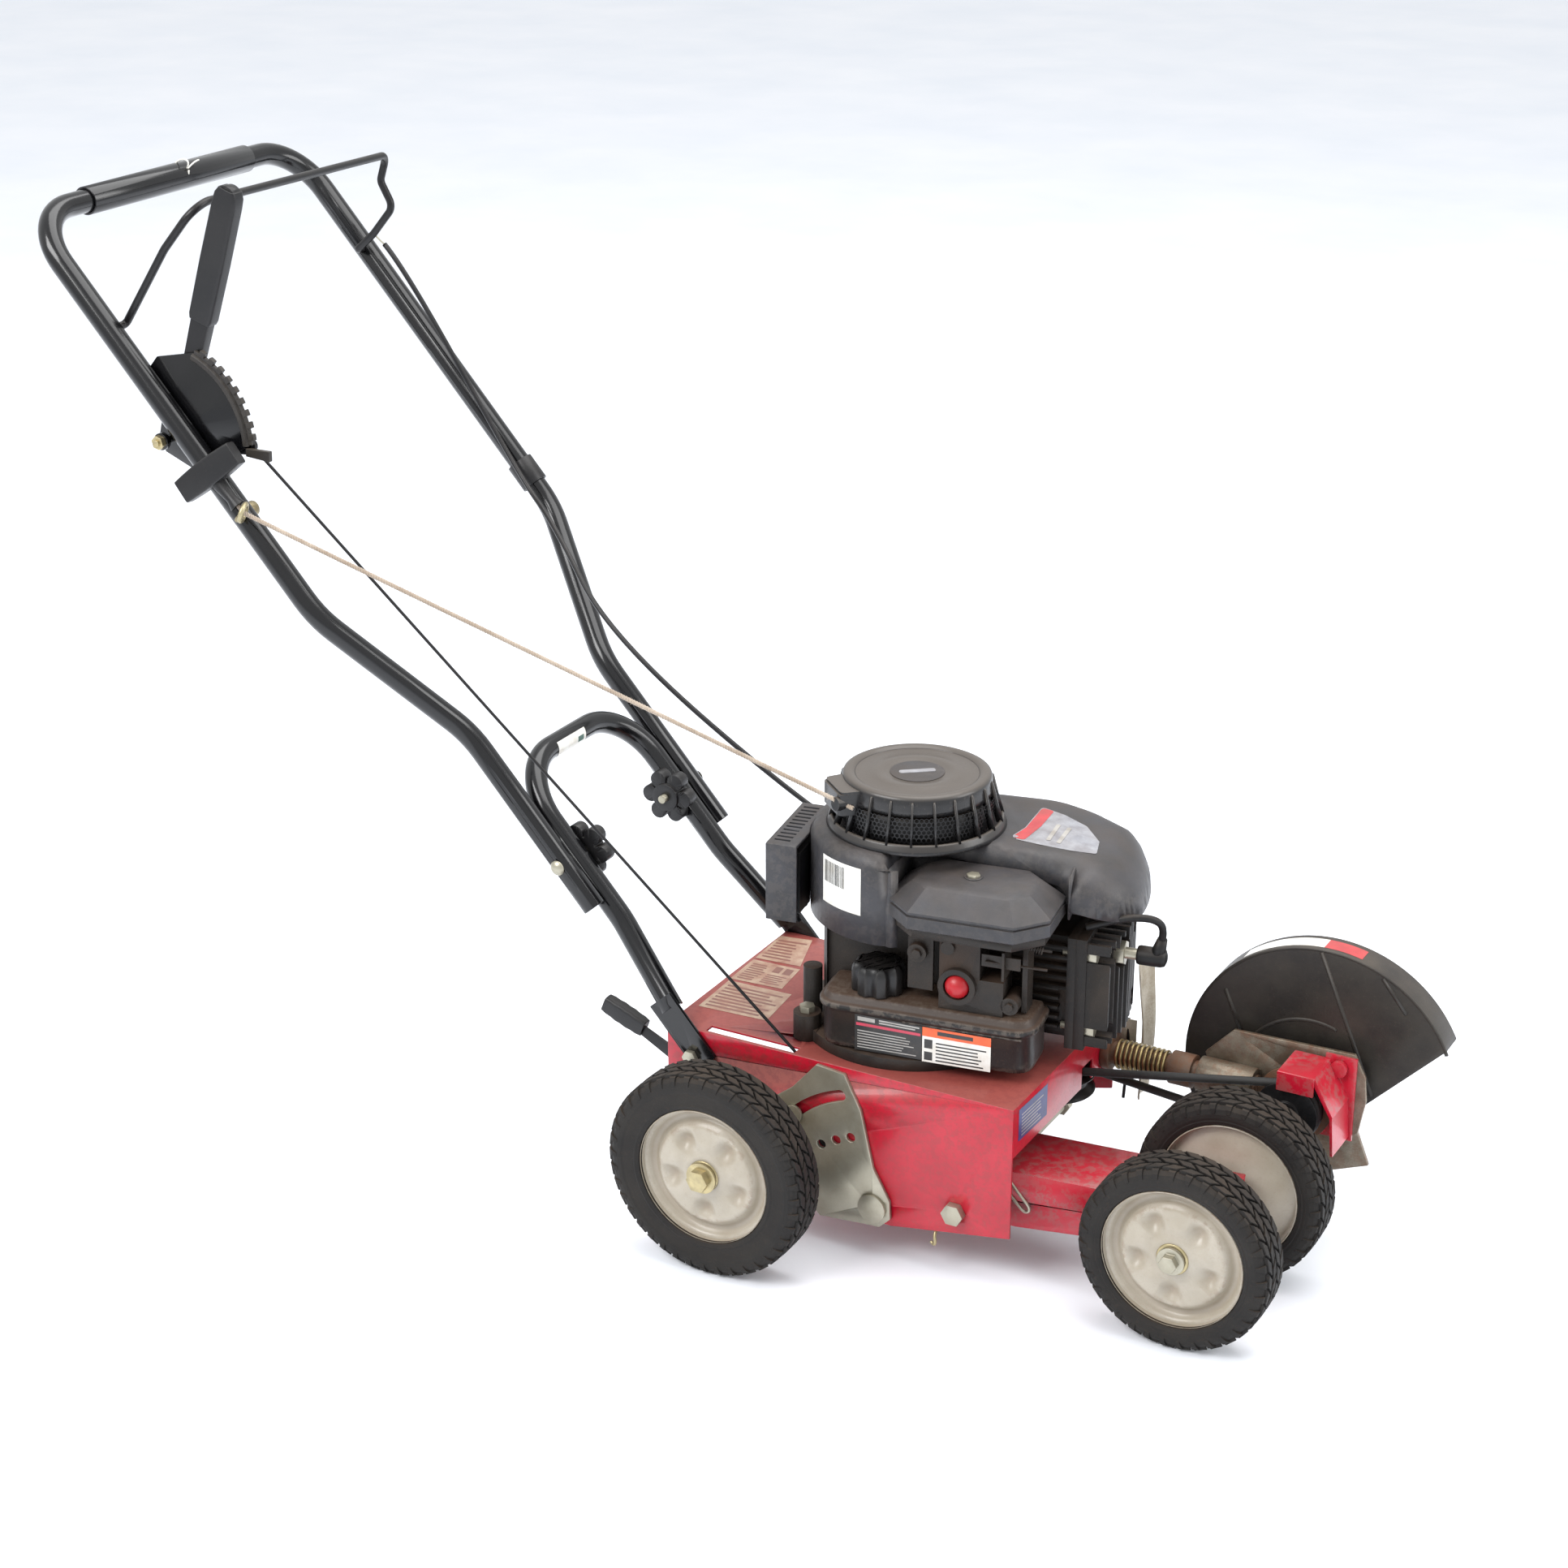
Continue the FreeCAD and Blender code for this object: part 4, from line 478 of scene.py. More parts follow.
def rim(name, body, centre, outward, plain=False):
    """A pressed steel disc: dished ring, raised middle and five stamped dents."""
    build = Builder()
    rings_at = [12, 15, 18, 20, 22.5, 25, 28, 31, 34, 37, 40, 43, 46, 49, 52, 54, 56, 58, 60, 61.5, 63, 64.4,
                RIM_EDGE]
    segments = 120

    def depth(r, t, dented):
        """How far the face stands back from the tyre's side."""
        dish = 8.5 / (1 + math.exp(-(r - 51.0) * 0.9)) - 7.0 / (1 + math.exp(-(r - 61.0) * 1.1))
        level = 6.5 + dish - 2.0 * math.exp(-((r - 16) / 5.5) ** 2)
        if dented:
            level += 8.0 * max(0.0, math.cos(5 * t)) ** 1.2 * math.exp(-((r - 36) / 8.5) ** 2)
            level -= 2.0 * max(0.0, -math.cos(5 * t)) * math.exp(-((r - 30) / 7.0) ** 2)
        return level

    for side in (-1, 1):
        dented = side == outward and not plain
        rings = []
        for r in rings_at:
            cone = 4.0 + 9.0 * (r / RIM_EDGE) ** 3 - (5.0 if r > 63.5 else 0.0)
            face = []
            for t in (2 * math.pi * k / segments for k in range(segments)):
                level = cone if plain and side == outward else depth(r, t, dented)
                face.append((r * math.cos(t), side * (HALF_WHEEL - level), r * math.sin(t)))
            rings.append(face)
        build.loft(rings, caps=False)
    bead = [(RIM_EDGE, -20.2), (66.2, -19.8), (66.2, -17), (65.0, -15)]
    build.turned(mirrored(bead), axis=ACROSS, segments=segments)
    build.turned([(6.5, -20), (12.0, -20), (12.0, 20), (6.5, 20)], axis=ACROSS, segments=48, closed=True)
    build.moved(Matrix.Translation(centre) @ Matrix.Rotation(0.35, 4, "Y"))
    return build.piece(name + "_disc", body, "cream_paint", name + "_rim")


WHEELS = {"rear_right": ((79, -205.75, 101.6), 101.6, -1), "rear_left": ((79, 205.75, 101.6), 101.6, 1),
          "front_right": ((499.3, -116.5, 90), 90.0, -1), "front_left": ((499.3, 18.2, 90), 90.0, -1)}
for name, (centre, radius, outward) in WHEELS.items():
    tyre(name, name + "_wheel", centre, radius)
    rim(name, name + "_wheel", centre, outward, plain=name == "front_left")


# ---- engine
def on_engine(build, name, material, body="chassis", **rest):
    """A piece built about the crank's axis, put in the engine's turned place."""
    return build.moved(ENGINE).piece(name, body, material, **rest)


def swept(centre, first, last, section, steps=40):
    """Rings of a (radius, y) section turned about a centre in the side view, ready to loft."""
    rings = []
    for k in range(steps + 1):
        t = math.radians(first + (last - first) * k / steps)
        rings.append([(centre.x + r * math.cos(t), y, centre.y + r * math.sin(t)) for r, y in section])
    return rings


def smooth_step(t):
    """From 0 to 1 with level ends."""
    t = min(1.0, max(0.0, t))
    return t * t * (3 - 2 * t)


HOUSING_RADIUS, NOSE_HALF_WIDTH, HOUSING_TOP = 97.0, 103.0, 390.0


def dome_outline():
    """The blower housing from above: round body, overhang behind the air cleaner, round nose."""
    r, nose = HOUSING_RADIUS, NOSE_HALF_WIDTH
    body = [polar(r, math.pi / 2 + math.pi * k / 40) for k in range(40)]
    near = rounded([(0, -r), (4, -46), (24, -34), (150, -34), (159, -51), (170, -52)],
                   [8, 18, 12, 10, 6, 0], 6)
    tip = [(170 + 46 * math.cos(t), 2 + (nose if t > 0 else 54) * math.sin(t)) for t in
           (-math.pi / 2 + 0.2 + (math.pi - 0.45) * k / 24 for k in range(1, 24))]
    return [Vector(p) for p in body] + near + [Vector(p) for p in tip] + [Vector((150, nose))]


DOME = dome_outline()


def edge_distance(p):
    """How far a point is from the housing's outline."""
    best = 1e9
    for a, b in zip(DOME, DOME[1:] + DOME[:1]):
        ab = b - a
        t = min(1.0, max(0.0, (p - a).dot(ab) / max(ab.length_squared, 1e-9)))
        best = min(best, (a + ab * t - p).length)
    return best


def dome_height(p, distance=None):
    """Height of the housing's top: flat round the starter, falling and rounding over at the nose."""
    distance = edge_distance(p) if distance is None else distance
    nose = smooth_step((p.x - 98) / 84)
    radius = 9 + 27 * nose
    drop = radius - math.sqrt(max(0.0, radius ** 2 - max(0.0, radius - distance) ** 2))
    lean = 0.0016 * max(0.0, p.x - 95) ** 2 + 6 * nose * max(0.0, -p.y / NOSE_HALF_WIDTH) ** 2
    collar = 2.6 * smooth_step((96 - p.length) / 5) - 2.6
    return HOUSING_TOP - drop - lean + (collar if p.length > 78 else 0.0) * (1 - nose)


def sheet_over(builder, outline, height, spacing=6.0):
    """Fills an outline with a fine net of faces at the given height function."""
    points = [Vector(p[:2]) for p in outline]
    count = len(points)
    xs, ys = [p.x for p in points], [p.y for p in points]
    for i in range(int((max(xs) - min(xs)) / spacing) + 1):
        for j in range(int((max(ys) - min(ys)) / spacing) + 1):
            points.append(Vector((min(xs) + (i + 0.5 * (j % 2)) * spacing, min(ys) + j * spacing)))
    border = [(k, (k + 1) % count) for k in range(count)]
    verts, _, faces, _, _, _ = delaunay_2d_cdt(points, border, [], 1, 0.01)
    builder.add([(v.x, v.y, height(v)) for v in verts], [list(face) for face in faces])


BODY_FLOOR, SIDE_FLOOR, NOSE_FLOOR, CLEANER_FLOOR = 305.0, 318.0, 343.0, 375.4
housing = Builder()
sheet_over(housing, DOME, dome_height)
edge_ring = [(p.x, p.y, dome_height(p, 0.0)) for p in DOME]
floors = []
for p in DOME:
    if -2 < p.x < 159 and -92 < p.y < -30:
        floors.append(CLEANER_FLOOR)
    elif p.x > 150:
        floors.append(NOSE_FLOOR)
    else:
        floors.append(SIDE_FLOOR if p.x > 62 else BODY_FLOOR)
low_ring = [(p.x, p.y, min(z, e[2])) for p, z, e in zip(DOME, floors, edge_ring)]
mid_ring = [(a[0], a[1], 0.5 * (a[2] + b[2])) for a, b in zip(edge_ring, low_ring)]
housing.loft([low_ring, mid_ring, edge_ring], caps=False)
inner_wall = rounded([(0.5, -95), (0.5, -15), (157, -15), (160, -50)], [0, 14, 12, 0], 5)
housing.loft([[(p.x, p.y, 336.0 if p.x > 62 else BODY_FLOOR) for p in inner_wall],
              [(p.x, p.y, 377.0) for p in inner_wall]], closed=False, caps=False)
shell = on_engine(housing, "housing_shell", "shroud_plastic", node="blower_housing")
skin = shell.modifiers.new("skin", "SOLIDIFY")
skin.thickness = 0.0022
skin.offset = -1.0

TANK_SIDE = -98
tank = Builder()
tank_shape = rounded([(-60, TANK_SIDE), (140, TANK_SIDE), (140, -42), (-60, -42)], [20, 20, 8, 8], 6)
solid(tank, tank_shape, [(4, 197.4), (1, 199), (0, 204), (0, 234), (-3.2, 236.6), (-4.0, 238.0),
                         (-4.0, 241.5), (-3.0, 242.8), (-1.2, 243.4), (0.4, 244.6), (2.0, 249.0),
                         (4.4, 250.2)])
plate = rounded([(20, -99.2), (132, -99.2), (132, -96), (20, -96)], 1.4, 3)
solid(tank, plate, [(0, 232.5), (0, 234.5)])
on_engine(tank, "tank_shell", "tank_plastic", node="fuel_tank")

cleaner = Builder()


def octagon_ring(half_u, half_v, corner, z):
    """An octagon over the air cleaner's centre: a rectangle with its corners cut off."""
    quarter = [(half_u, corner - half_v), (half_u, half_v - corner), (half_u - corner, half_v),
               (corner - half_u, half_v)]
    return [(79 + side * u, -68 + side * v, z) for side in (1, -1) for u, v in quarter]


CLEANER_LEVELS = [(70, 48, 25, 335), (75, 53, 26, 338), (75, 53, 26, 349.4), (73.4, 51.4, 26, 350.2),
                  (73.4, 51.4, 26, 351), (75, 53, 26, 351.8), (75, 53, 26, 354), (72, 50, 25, 357),
                  (54.6, 34.6, 16, 370.6), (50, 30, 14, 372.6)]
cleaner.loft([octagon_ring(*level) for level in CLEANER_LEVELS])
cleaner.rod((75, -68, 372), (75, -68, 373.6), 8.4, 32)
on_engine(cleaner, "cleaner_shell", "shroud_plastic", node="air_cleaner_cover", edge=0.0005)

recoil = Builder()
recoil.turned([(56.5, 438.0), (57.6, 438.4), (59.5, 439.9), (64.6, 440.0), (67.4, 438.6), (68.6, 436.0),
               (68.9, 431.0), (69.6, 426.5), (69.6, 421.6), (68.2, 421.0), (67.0, 422.0), (66.0, 434.0),
               (57.0, 436.0)], segments=96, closed=True)
recoil.turned([(0.01, 438.0), (30, 438.0), (31, 438.5), (40, 438.5), (41, 438.0), (57.0, 438.0)], segments=96)
recoil.turned([(74.5, 389.0), (82.0, 388.8), (83.0, 390.0), (81.5, 393.0), (80.0, 397.0),
               (79.2, 398.2), (77.4, 398.4), (76.6, 397.0), (76.0, 392.0)], segments=96, closed=True)
for k in range(22):
    turn = 2 * math.pi * k / 22 + 0.1
    x, y = polar(1, turn)
    across = Vector((-y, x, 0)) * 0.95
    fin = [Vector((x * r, y * r, z)) for r, z in
           ((67.5, 436.5), (70.4, 434), (75.4, 414), (80.6, 397), (74.2, 396), (67.5, 420.0))]
    recoil.loft([[p - across for p in fin], [p + across for p in fin]])
on_engine(recoil, "recoil_cage", "gloss_plastic", node="recoil_cover")
outlet = Builder()
for grow, z0, z1 in ((0.0, 413.5, 434.0), (-2.0, 434.0, 436.2)):
    block = rounded([(58, -23), (84 + grow, -21), (84 + grow, 21), (58, 23)], [2, 6, 6, 2], 4)
    outlet.loft([[(p.x, p.y, z0) for p in block], [(p.x, p.y, z1) for p in block]])
outlet.rod((78, 15, 424), (86.5, 17, 424.6), 7.2, 24, 6.4)
outlet.moved(Matrix.Rotation(math.atan2(-64, -40) - 0.32, 4, "Z"))
on_engine(outlet, "rope_outlet", "gloss_plastic", slot="shroud_plastic", edge=0.0012)

screen = Builder()
cell, around, screen_radius = 4.3, 104, 72.6
for row in range(7):
    for k in range(around):
        middle = 2 * math.pi * (k + 0.5 * (row % 2)) / around
        z = 397 + row * cell * 0.87
        edges = []
        for size in (0.59 * cell, 0.44 * cell):
            corners = [math.radians(60 * j + 30) for j in range(6)]
            hexagon = [(middle + size * math.cos(t) / screen_radius, z + size * math.sin(t)) for t in corners]
            edges.append([(*polar(screen_radius, a), h) for a, h in hexagon])
        screen.loft(edges, caps=False)
on_engine(screen, "air_screen", "dark_steel", slot="shroud_plastic", smooth=False)
drum = Builder()
drum.turned([(30, 419), (64, 419), (67, 416), (68.5, 396), (66, 392)])
on_engine(drum, "screen_drum", "soft_rubber", slot="shroud_plastic")

CAP = (-11, -72)
cap = Builder()
cap_outline = []
for k in range(144):
    t = 2 * math.pi * k / 144
    scallop = 3.0 * max(0.0, math.cos(8 * t)) ** 0.7
    x, y = polar(25.0 - scallop, t)
    cap_outline.append((CAP[0] + x, CAP[1] + y))
solid(cap, cap_outline, [(1, 250.6), (0, 252), (0, 270), (0.6, 273), (1.8, 275.6), (3.4, 277.4),
                         (5.4, 278.2)])
cap.turned([(3, 277.8), (5, 278.4), (7, 278.4), (8, 277.8), (14, 277.8), (15, 278.5), (16.5, 278.5)],
           (*CAP, 0), segments=48)
on_engine(cap, "cap_shell", "grip_plastic", "tank_cap", node="fuel_cap")

# small parts round the carburettor: throttle plates, link rods and a spring
links = Builder()
PLATES = [((92, -95, 300), (128, -93, 312)), ((112, -100, 290), (114.5, -76, 318)),
          ((126, -80, 252), (131, -60, 316)), ((20, -84, 262), (44, -80, 314))]
RODS = [((96, -97, 306), (150, -84, 300), 1.3, 12), ((104, -90, 322), (150, -70, 312), 1.3, 12),
        ((60, -95, 312), (60, -84, 312), 6.5, 20), ((118, -92, 262), (118, -64, 262), 8.5, 24),
        ((118, -95, 262), (118, -92, 262), 4.2, 6), ((30, -90, 300), (30, -78, 300), 9.0, 24),
        ((30, -93, 300), (30, -90, 300), 5.0, 6)]
for low, high in PLATES:
    links.box(low, high)
for start, end, radius, sides in RODS:
    links.rod(start, end, radius, sides)
for k in range(9):
    links.turned([(3.0 + x, y) for x, y in (polar(0.8, 2 * math.pi * j / 6) for j in range(6))],
                 (128 + 2.2 * k, -88, 324 - 0.5 * k), (1, 0.1, -0.2), 16, closed=True)
on_engine(links, "throttle_links", "dark_case", slot="cast_alloy", edge=0.0004)
stack = Builder()
for k in range(5):
    stack.box((60, -41.5, 222 + k * 9.5), (150, -34.5, 225 + k * 9.5))
on_engine(stack, "lower_fins", "cast_alloy", slot="cast_alloy", edge=0.0004)


# ---- labels, all of them plain blocks of colour
def label(name, corners, normal, blocks, material):
    """A thin sticker on the chassis: corners from low left, and blocks in its own 0 to 1 square."""
    a, b, c, d = [Vector(p) for p in corners]
    normal = Vector(normal).normalized()
    for index, (tone, boxes, lift) in enumerate([(material, [(0, 0, 1, 1)], 0.25)] + blocks):
        build = Builder()
        for x0, y0, x1, y1 in boxes:
            steps = 6 if x1 - x0 > 0.3 else 2
            across = [x0 + (x1 - x0) * k / steps for k in range(steps + 1)]
            build.loft([[a.lerp(b, x).lerp(d.lerp(c, x), y) + normal * lift for x in across]
                        for y in (y0, y1)], closed=False, caps=False)
        build.piece(f"{name}_{index}" if index else name, "chassis", tone, slot="tank_plastic", smooth=False)


def bars(x0, x1, y0, y1, count, gap=0.4, ragged=0.0, seed=1):
    """A block of plain lines, each of its own length."""
    draw = random.Random(seed)
    pitch = (y1 - y0) / count
    return [(x0, y0 + pitch * k, x1 - draw.random() * ragged, y0 + pitch * (k + 1 - gap))
            for k in range(count)]


def engine_points(*points):
    """Points given about the crank, in the engine's turned place."""
    return [tuple(ENGINE @ Vector(p)) for p in points]


tank_out = tuple((ENGINE.to_3x3() @ Vector((0, -1, 0))))
label("tank_label_left",
      engine_points((-25, TANK_SIDE, 198), (39, TANK_SIDE, 198), (39, TANK_SIDE, 232), (-25, TANK_SIDE, 234)),
      tank_out,
      [("label_grey", bars(0.04, 0.96, 0.08, 0.62, 7, 0.62, 0.3), 0.35),
       ("label_pink", [(0.02, 0.7, 0.98, 0.78)], 0.35),
       ("label_grey", [(0.04, 0.84, 0.3, 0.95), (0.36, 0.84, 0.9, 0.88), (0.36, 0.91, 0.96, 0.95)], 0.35)],
      "label_black")
label("tank_label_right",
      engine_points((39.5, TANK_SIDE, 197), (104, TANK_SIDE, 197), (104, TANK_SIDE, 231),
                    (39.5, TANK_SIDE, 232)), tank_out,
      [("label_orange", [(0, 0.74, 1, 1)], 0.32),
       ("label_black", bars(0.2, 0.95, 0.06, 0.66, 6, 0.6, 0.22, 3)
        + [(0.03, 0.06, 0.15, 0.3), (0.03, 0.4, 0.15, 0.66)], 0.38),
       ("label_black", [(0.22, 0.82, 0.74, 0.93)], 0.42)], "label_white")


def drum_patch(build, radius, first, last, low, high):
    """One upright patch on the housing's round side, between two angles in degrees."""
    feet = [Vector((*polar(radius, math.radians(t)), 0)) for t in (first, last)]
    tops = [foot + Vector((0, 0, high)) for foot in reversed(feet)]
    build.add([foot + Vector((0, 0, low)) for foot in feet] + tops, [(0, 1, 2, 3)])


sticker = Builder()
for k in range(9):
    drum_patch(sticker, 97.35, 228 + 29 * k / 9, 228 + 29 * (k + 1) / 9, 331, 377)
on_engine(sticker, "side_label", "label_white", slot="tank_plastic")
code = Builder()
draw = random.Random(7)
turn = 230.0
while turn < 246:
    wide = 0.25 + draw.random() * 0.5
    drum_patch(code, 97.5, turn, turn + wide, 352, 373)
    turn += wide + 0.3 + draw.random() * 0.5
on_engine(code, "side_label_bars", "label_black", slot="tank_plastic", smooth=False)


def dome_patch(name, corners, tone, lift, radius=4):
    """A sticker that follows the housing's top."""
    build = Builder()
    sheet_over(build, rounded(corners, radius, 4), lambda p: dome_height(p) + lift, 5.0)
    on_engine(build, name, tone, slot="shroud_plastic")


dome_patch("nose_label", [(92, -6), (97, 22), (99, 74), (124, 64), (148, 50), (166, 26), (170, 0),
                          (150, -8), (120, -10)], "label_silver", 0.35)
dome_patch("nose_label_band", [(93, -4), (98, 22), (100, 72), (112, 68), (110, 30), (104, -6)], "label_red",
           0.6)
dome_patch("nose_label_lines", [(122, 2), (122, 40), (126, 40), (126, 2)], "label_grey", 0.7, 1)
dome_patch("nose_label_lines_b", [(132, 0), (133, 38), (137, 37), (136, 0)], "label_grey", 0.7, 1)
badge = Builder()
badge.turned([(0.01, 438.7), (24, 438.7), (25, 438.4)])
on_engine(badge, "top_badge", "shroud_plastic", slot="shroud_plastic")
mark = Builder()
solid(mark, slab(17, 3.5, 3.0), [(0, 438.7), (0.2, 439.1)])
mark.moved(Matrix.Rotation(0.5, 4, "Z"))
on_engine(mark, "top_mark", "label_silver", slot="shroud_plastic", smooth=False)

DECK = 185
label("deck_label_a", [(-18, 46, DECK), (30, 50, DECK), (12, 108, DECK), (-21, 102, DECK)], UP,
      [("label_worn_dark", bars(0.08, 0.92, 0.1, 0.9, 7, 0.5, 0.3, 5), 0.32)], "label_worn")
label("deck_label_b", [(-17, -6, DECK), (38, -2, DECK), (33, 44, DECK), (-18, 42, DECK)], UP,
      [("label_worn_dark", bars(0.08, 0.45, 0.1, 0.9, 8, 0.5, 0.1, 6)
        + bars(0.52, 0.92, 0.1, 0.55, 5, 0.5, 0.1, 8)
        + [(0.55, 0.62, 0.7, 0.9), (0.76, 0.62, 0.92, 0.9)], 0.32)], "label_worn")
label("deck_label_c", [(-14, -72, DECK), (58, -68, DECK), (52, -8, DECK), (-16, -10, DECK)], UP,
      [("label_worn_dark", bars(0.06, 0.94, 0.08, 0.92, 8, 0.5, 0.2, 9), 0.32)], "label_worn")
label("apron_label", [(336, -104, 148), (336, -42, 146), (336, -42, 178), (336, -104, 180)], (1, 0, 0),
      [("label_grey", bars(0.1, 0.9, 0.1, 0.85, 7, 0.66, 0.25, 11), 0.35)], "label_blue")

# ---- rope, cable, grip and eye
ROPE = [(148.5, -69.5, 421.0), (120.0, -76.8, 433.0), (-378.0, -206.5, 642.0), (-406.0, -214.0, 654.5)]
PULL = [(-406.0, -214.0, 654.5), (-413.0, -215.5, 665.0), (-424.0, -217.0, 677.0)]
CABLE = [(-527, 186, 812), (-500, 184.2, 788), (-369.6, 183.2, 590.2), (-300, 140, 560), (-201, 80, 478),
         (14, 102, 327), (110, 112, 290), (176, 96, 268)]


def route(points, count):
    """Evenly spaced points read from the NURBS spline through these control points, in metres."""
    curve = bpy.data.curves.new("route", "CURVE")
    curve.dimensions = "3D"
    line = curve.splines.new("NURBS")
    line.points.add(len(points) - 1)
    for target, point in zip(line.points, points):
        target.co = (*(Vector(point) * MM), 1.0)
    line.order_u = 3
    line.use_endpoint_u = True
    line.resolution_u = 24
    holder = bpy.data.objects.new("route", curve)
    SCENE.collection.objects.link(holder)
    bpy.context.view_layer.update()
    mesh = bpy.data.meshes.new_from_object(holder)
    path = [v.co.copy() for v in mesh.vertices]
    bpy.data.objects.remove(holder)
    lengths = [0.0]
    for a, b in zip(path, path[1:]):
        lengths.append(lengths[-1] + (b - a).length)
    result, k = [], 0
    for i in range(count):
        want = lengths[-1] * i / (count - 1)
        while k < len(path) - 2 and lengths[k + 1] < want:
            k += 1
        t = (want - lengths[k]) / max(lengths[k + 1] - lengths[k], 1e-9)
        result.append(path[k].lerp(path[k + 1], min(1.0, t)))
    return result, lengths[-1]


def frames(path):
    """A side and across direction at each point, turning as little as they can."""
    side = (path[1] - path[0]).orthogonal().normalized()
    result = []
    for k, point in enumerate(path):
        along = (path[min(k + 1, len(path) - 1)] - path[max(k - 1, 0)]).normalized()
        side = (side - along * side.dot(along)).normalized()
        result.append((point, side, along.cross(side)))
    return result


def strand_mesh(name, points, count, strands, radius, strand_radius, turns, material, node=()):
    """Twisted strands round a route, or one plain strand, in metres; it is left free, on no body."""
    path, length = route(points, count)
    build = Builder()
    for s in range(strands):
        line = []
        for k, (point, side, across) in enumerate(frames(path)):
            t = 2 * math.pi * (s / strands + turns * k / (count - 1))
            wobble = 1 + 0.05 * math.sin(k * 1.7 + s)
            line.append(point + (side * math.cos(t) + across * math.sin(t))
                        * (radius * wobble if strands > 1 else 0))
        rings = [ring(centre / MM, side, across, strand_radius / MM, 8)
                 for centre, side, across in frames(line)]
        build.loft(rings)
    piece = loose(build, name, material)
    if node:
        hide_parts(node)
    return piece, path, length


LAY, STRAND = 0.00115, 0.00112  # how far a strand's middle is from the rope's, and the strand's radius
rope, rope_path, rope_length = strand_mesh("rope_strands", ROPE, 620, 3, LAY, STRAND, 78, "rope_fibre",
                                           "starter_rope")
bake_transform(rope)
pull, _, _ = strand_mesh("grip_rope", PULL, 60, 3, LAY, STRAND, 4, "rope_fibre")
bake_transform(pull)
cable, cable_path, cable_length = strand_mesh("cable_sleeve", CABLE, 260, 1, 0, 0.0026, 0,
                                              "dark_steel", "control_cable")
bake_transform(cable)
wire, _, _ = strand_mesh("cable_wire", [(-527, 186, 812), (-532, 183, 817), (-537, 178.5, 826)],
                         24, 1, 0, 0.0009, 0, "zinc")
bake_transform(wire)
for index in (0, 1):
    fuzz = Builder()
    draw = random.Random(3 + index)
    source = rope_path[6:-6]
    for k in range(150 + 60 * index):
        point = source[draw.randrange(len(source))] / MM
        out = Vector((draw.uniform(-1, 1), draw.uniform(-1, 1), draw.uniform(-1, 1))).normalized()
        fuzz.rod(point + out * 1.6, point + out * (3.0 + draw.random() * 1.6), 0.16, 4, 0.05)
    hair = loose(fuzz, f"rope_fuzz_{index}", "rope_fibre", smooth=False)
    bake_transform(hair)


def bend(centre, radius, first, last, side_view=False):
    """Points of an arc in millimetres, lying flat or in the side view."""
    points = []
    for k in range(33):
        t = math.radians(first + (last - first) * k / 32)
        out = Vector((math.cos(t), 0, math.sin(t))) if side_view else Vector((math.cos(t), math.sin(t), 0))
        points.append(Vector(centre) + out * radius)
    return points


belt_turns = [bend((527, 72.5, 147), 26.8, -90, 90, True), bend((CRANK_X, 0, 124), 32.8, 96.5, 330.2),
              bend((296, 70, 122), 34.8, 150.2, 82)]
belt_path = []
for turn, following in zip(belt_turns, belt_turns[1:] + belt_turns[:1]):
    belt_path += turn + [turn[-1].lerp(following[0], k / 24) for k in range(1, 24)]
belt_path.append(belt_path[0].copy())
belt = Builder()
belt.loft([ring(centre, side, across, 4.0, 16) for centre, side, across in frames(belt_path)])
belt_piece = loose(belt, "belt_loop", "belt_rubber")
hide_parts("drive_belt")
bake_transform(belt_piece)

GRIP = Vector((-437.2, -219.0, 689.6))
grip_along = Vector((0.75, 0.2, 0.59)).normalized()
grip_cross = ALONG.normalized().cross(grip_along).normalized()
grip_up = grip_along.cross(grip_cross)
turn_grip = Matrix((grip_along, grip_cross, grip_up)).transposed().to_4x4()
pull_grip = Builder()
sections = []
for k in range(17):
    t = -1 + 2 * k / 16
    high = 12.8 - 1.6 * t * t
    deep = 8.2 - 1.2 * t * t
    sections.append([(34 * t, p.x, p.y) for p in slab(deep, high, 2.5, 3)])
pull_grip.loft(sections)
pull_grip.moved(Matrix.Translation(GRIP) @ turn_grip)
eye = Vector((-406, -214, 654.5))
neck, mouth = GRIP.lerp(eye, 0.66), GRIP.lerp(eye, 0.84)
pull_grip.rod(GRIP, neck, 8.2, 24, 5.2)
pull_grip.rod(neck, mouth, 5.2, 24, 7.6)
pull_grip.piece("grip_handle", "pull_grip", "grip_plastic", "starter_grip", edge=0.0006)


# ---- small parts
def strip(name, points, radius, body, material, slot, sides=10, node=(), build=None):
    """A bent wire along points, smoothed by a spline."""
    path, _ = route(points, 14 * len(points))
    build = build or Builder()
    build.loft([ring(centre / MM, side, across, radius, sides) for centre, side, across in frames(path)])
    return build.piece(name, body, material, node, slot=slot)


strip("hairpin_clip", [(325, -92, 97), (334, -93, 88), (346, -92, 75), (340, -92, 69), (330, -92, 79),
                       (322, -92, 88)], 1.5, "chassis", "zinc", "zinc")
strip("deck_hook", [(261, -112, 40), (261, -117, 37), (263, -118, 31), (261, -116.5, 25.5),
                    (257, -115, 28)], 1.6, "chassis", "yellow_zinc", "zinc")
strip("flap_wire", [(348, 119, 176), (350, 115, 150), (351, 111, 122), (350, 109, 96)], 1.6, "chassis",
      "dark_steel", "dark_steel")
strip("grip_tie", [(-636, 18, 907), (-630, 16, 915), (-640, 15, 917.5), (-656, 15, 905), (-648, 16, 888),
                   (-634, 16, 896), (-633, 17, 906)], 0.9, "handle", "label_white", "zinc")
strip("grip_tie_tail", [(-633, 16, 908), (-630, 22, 914), (-634, 34, 913)], 0.8, "handle", "label_white",
      "zinc")

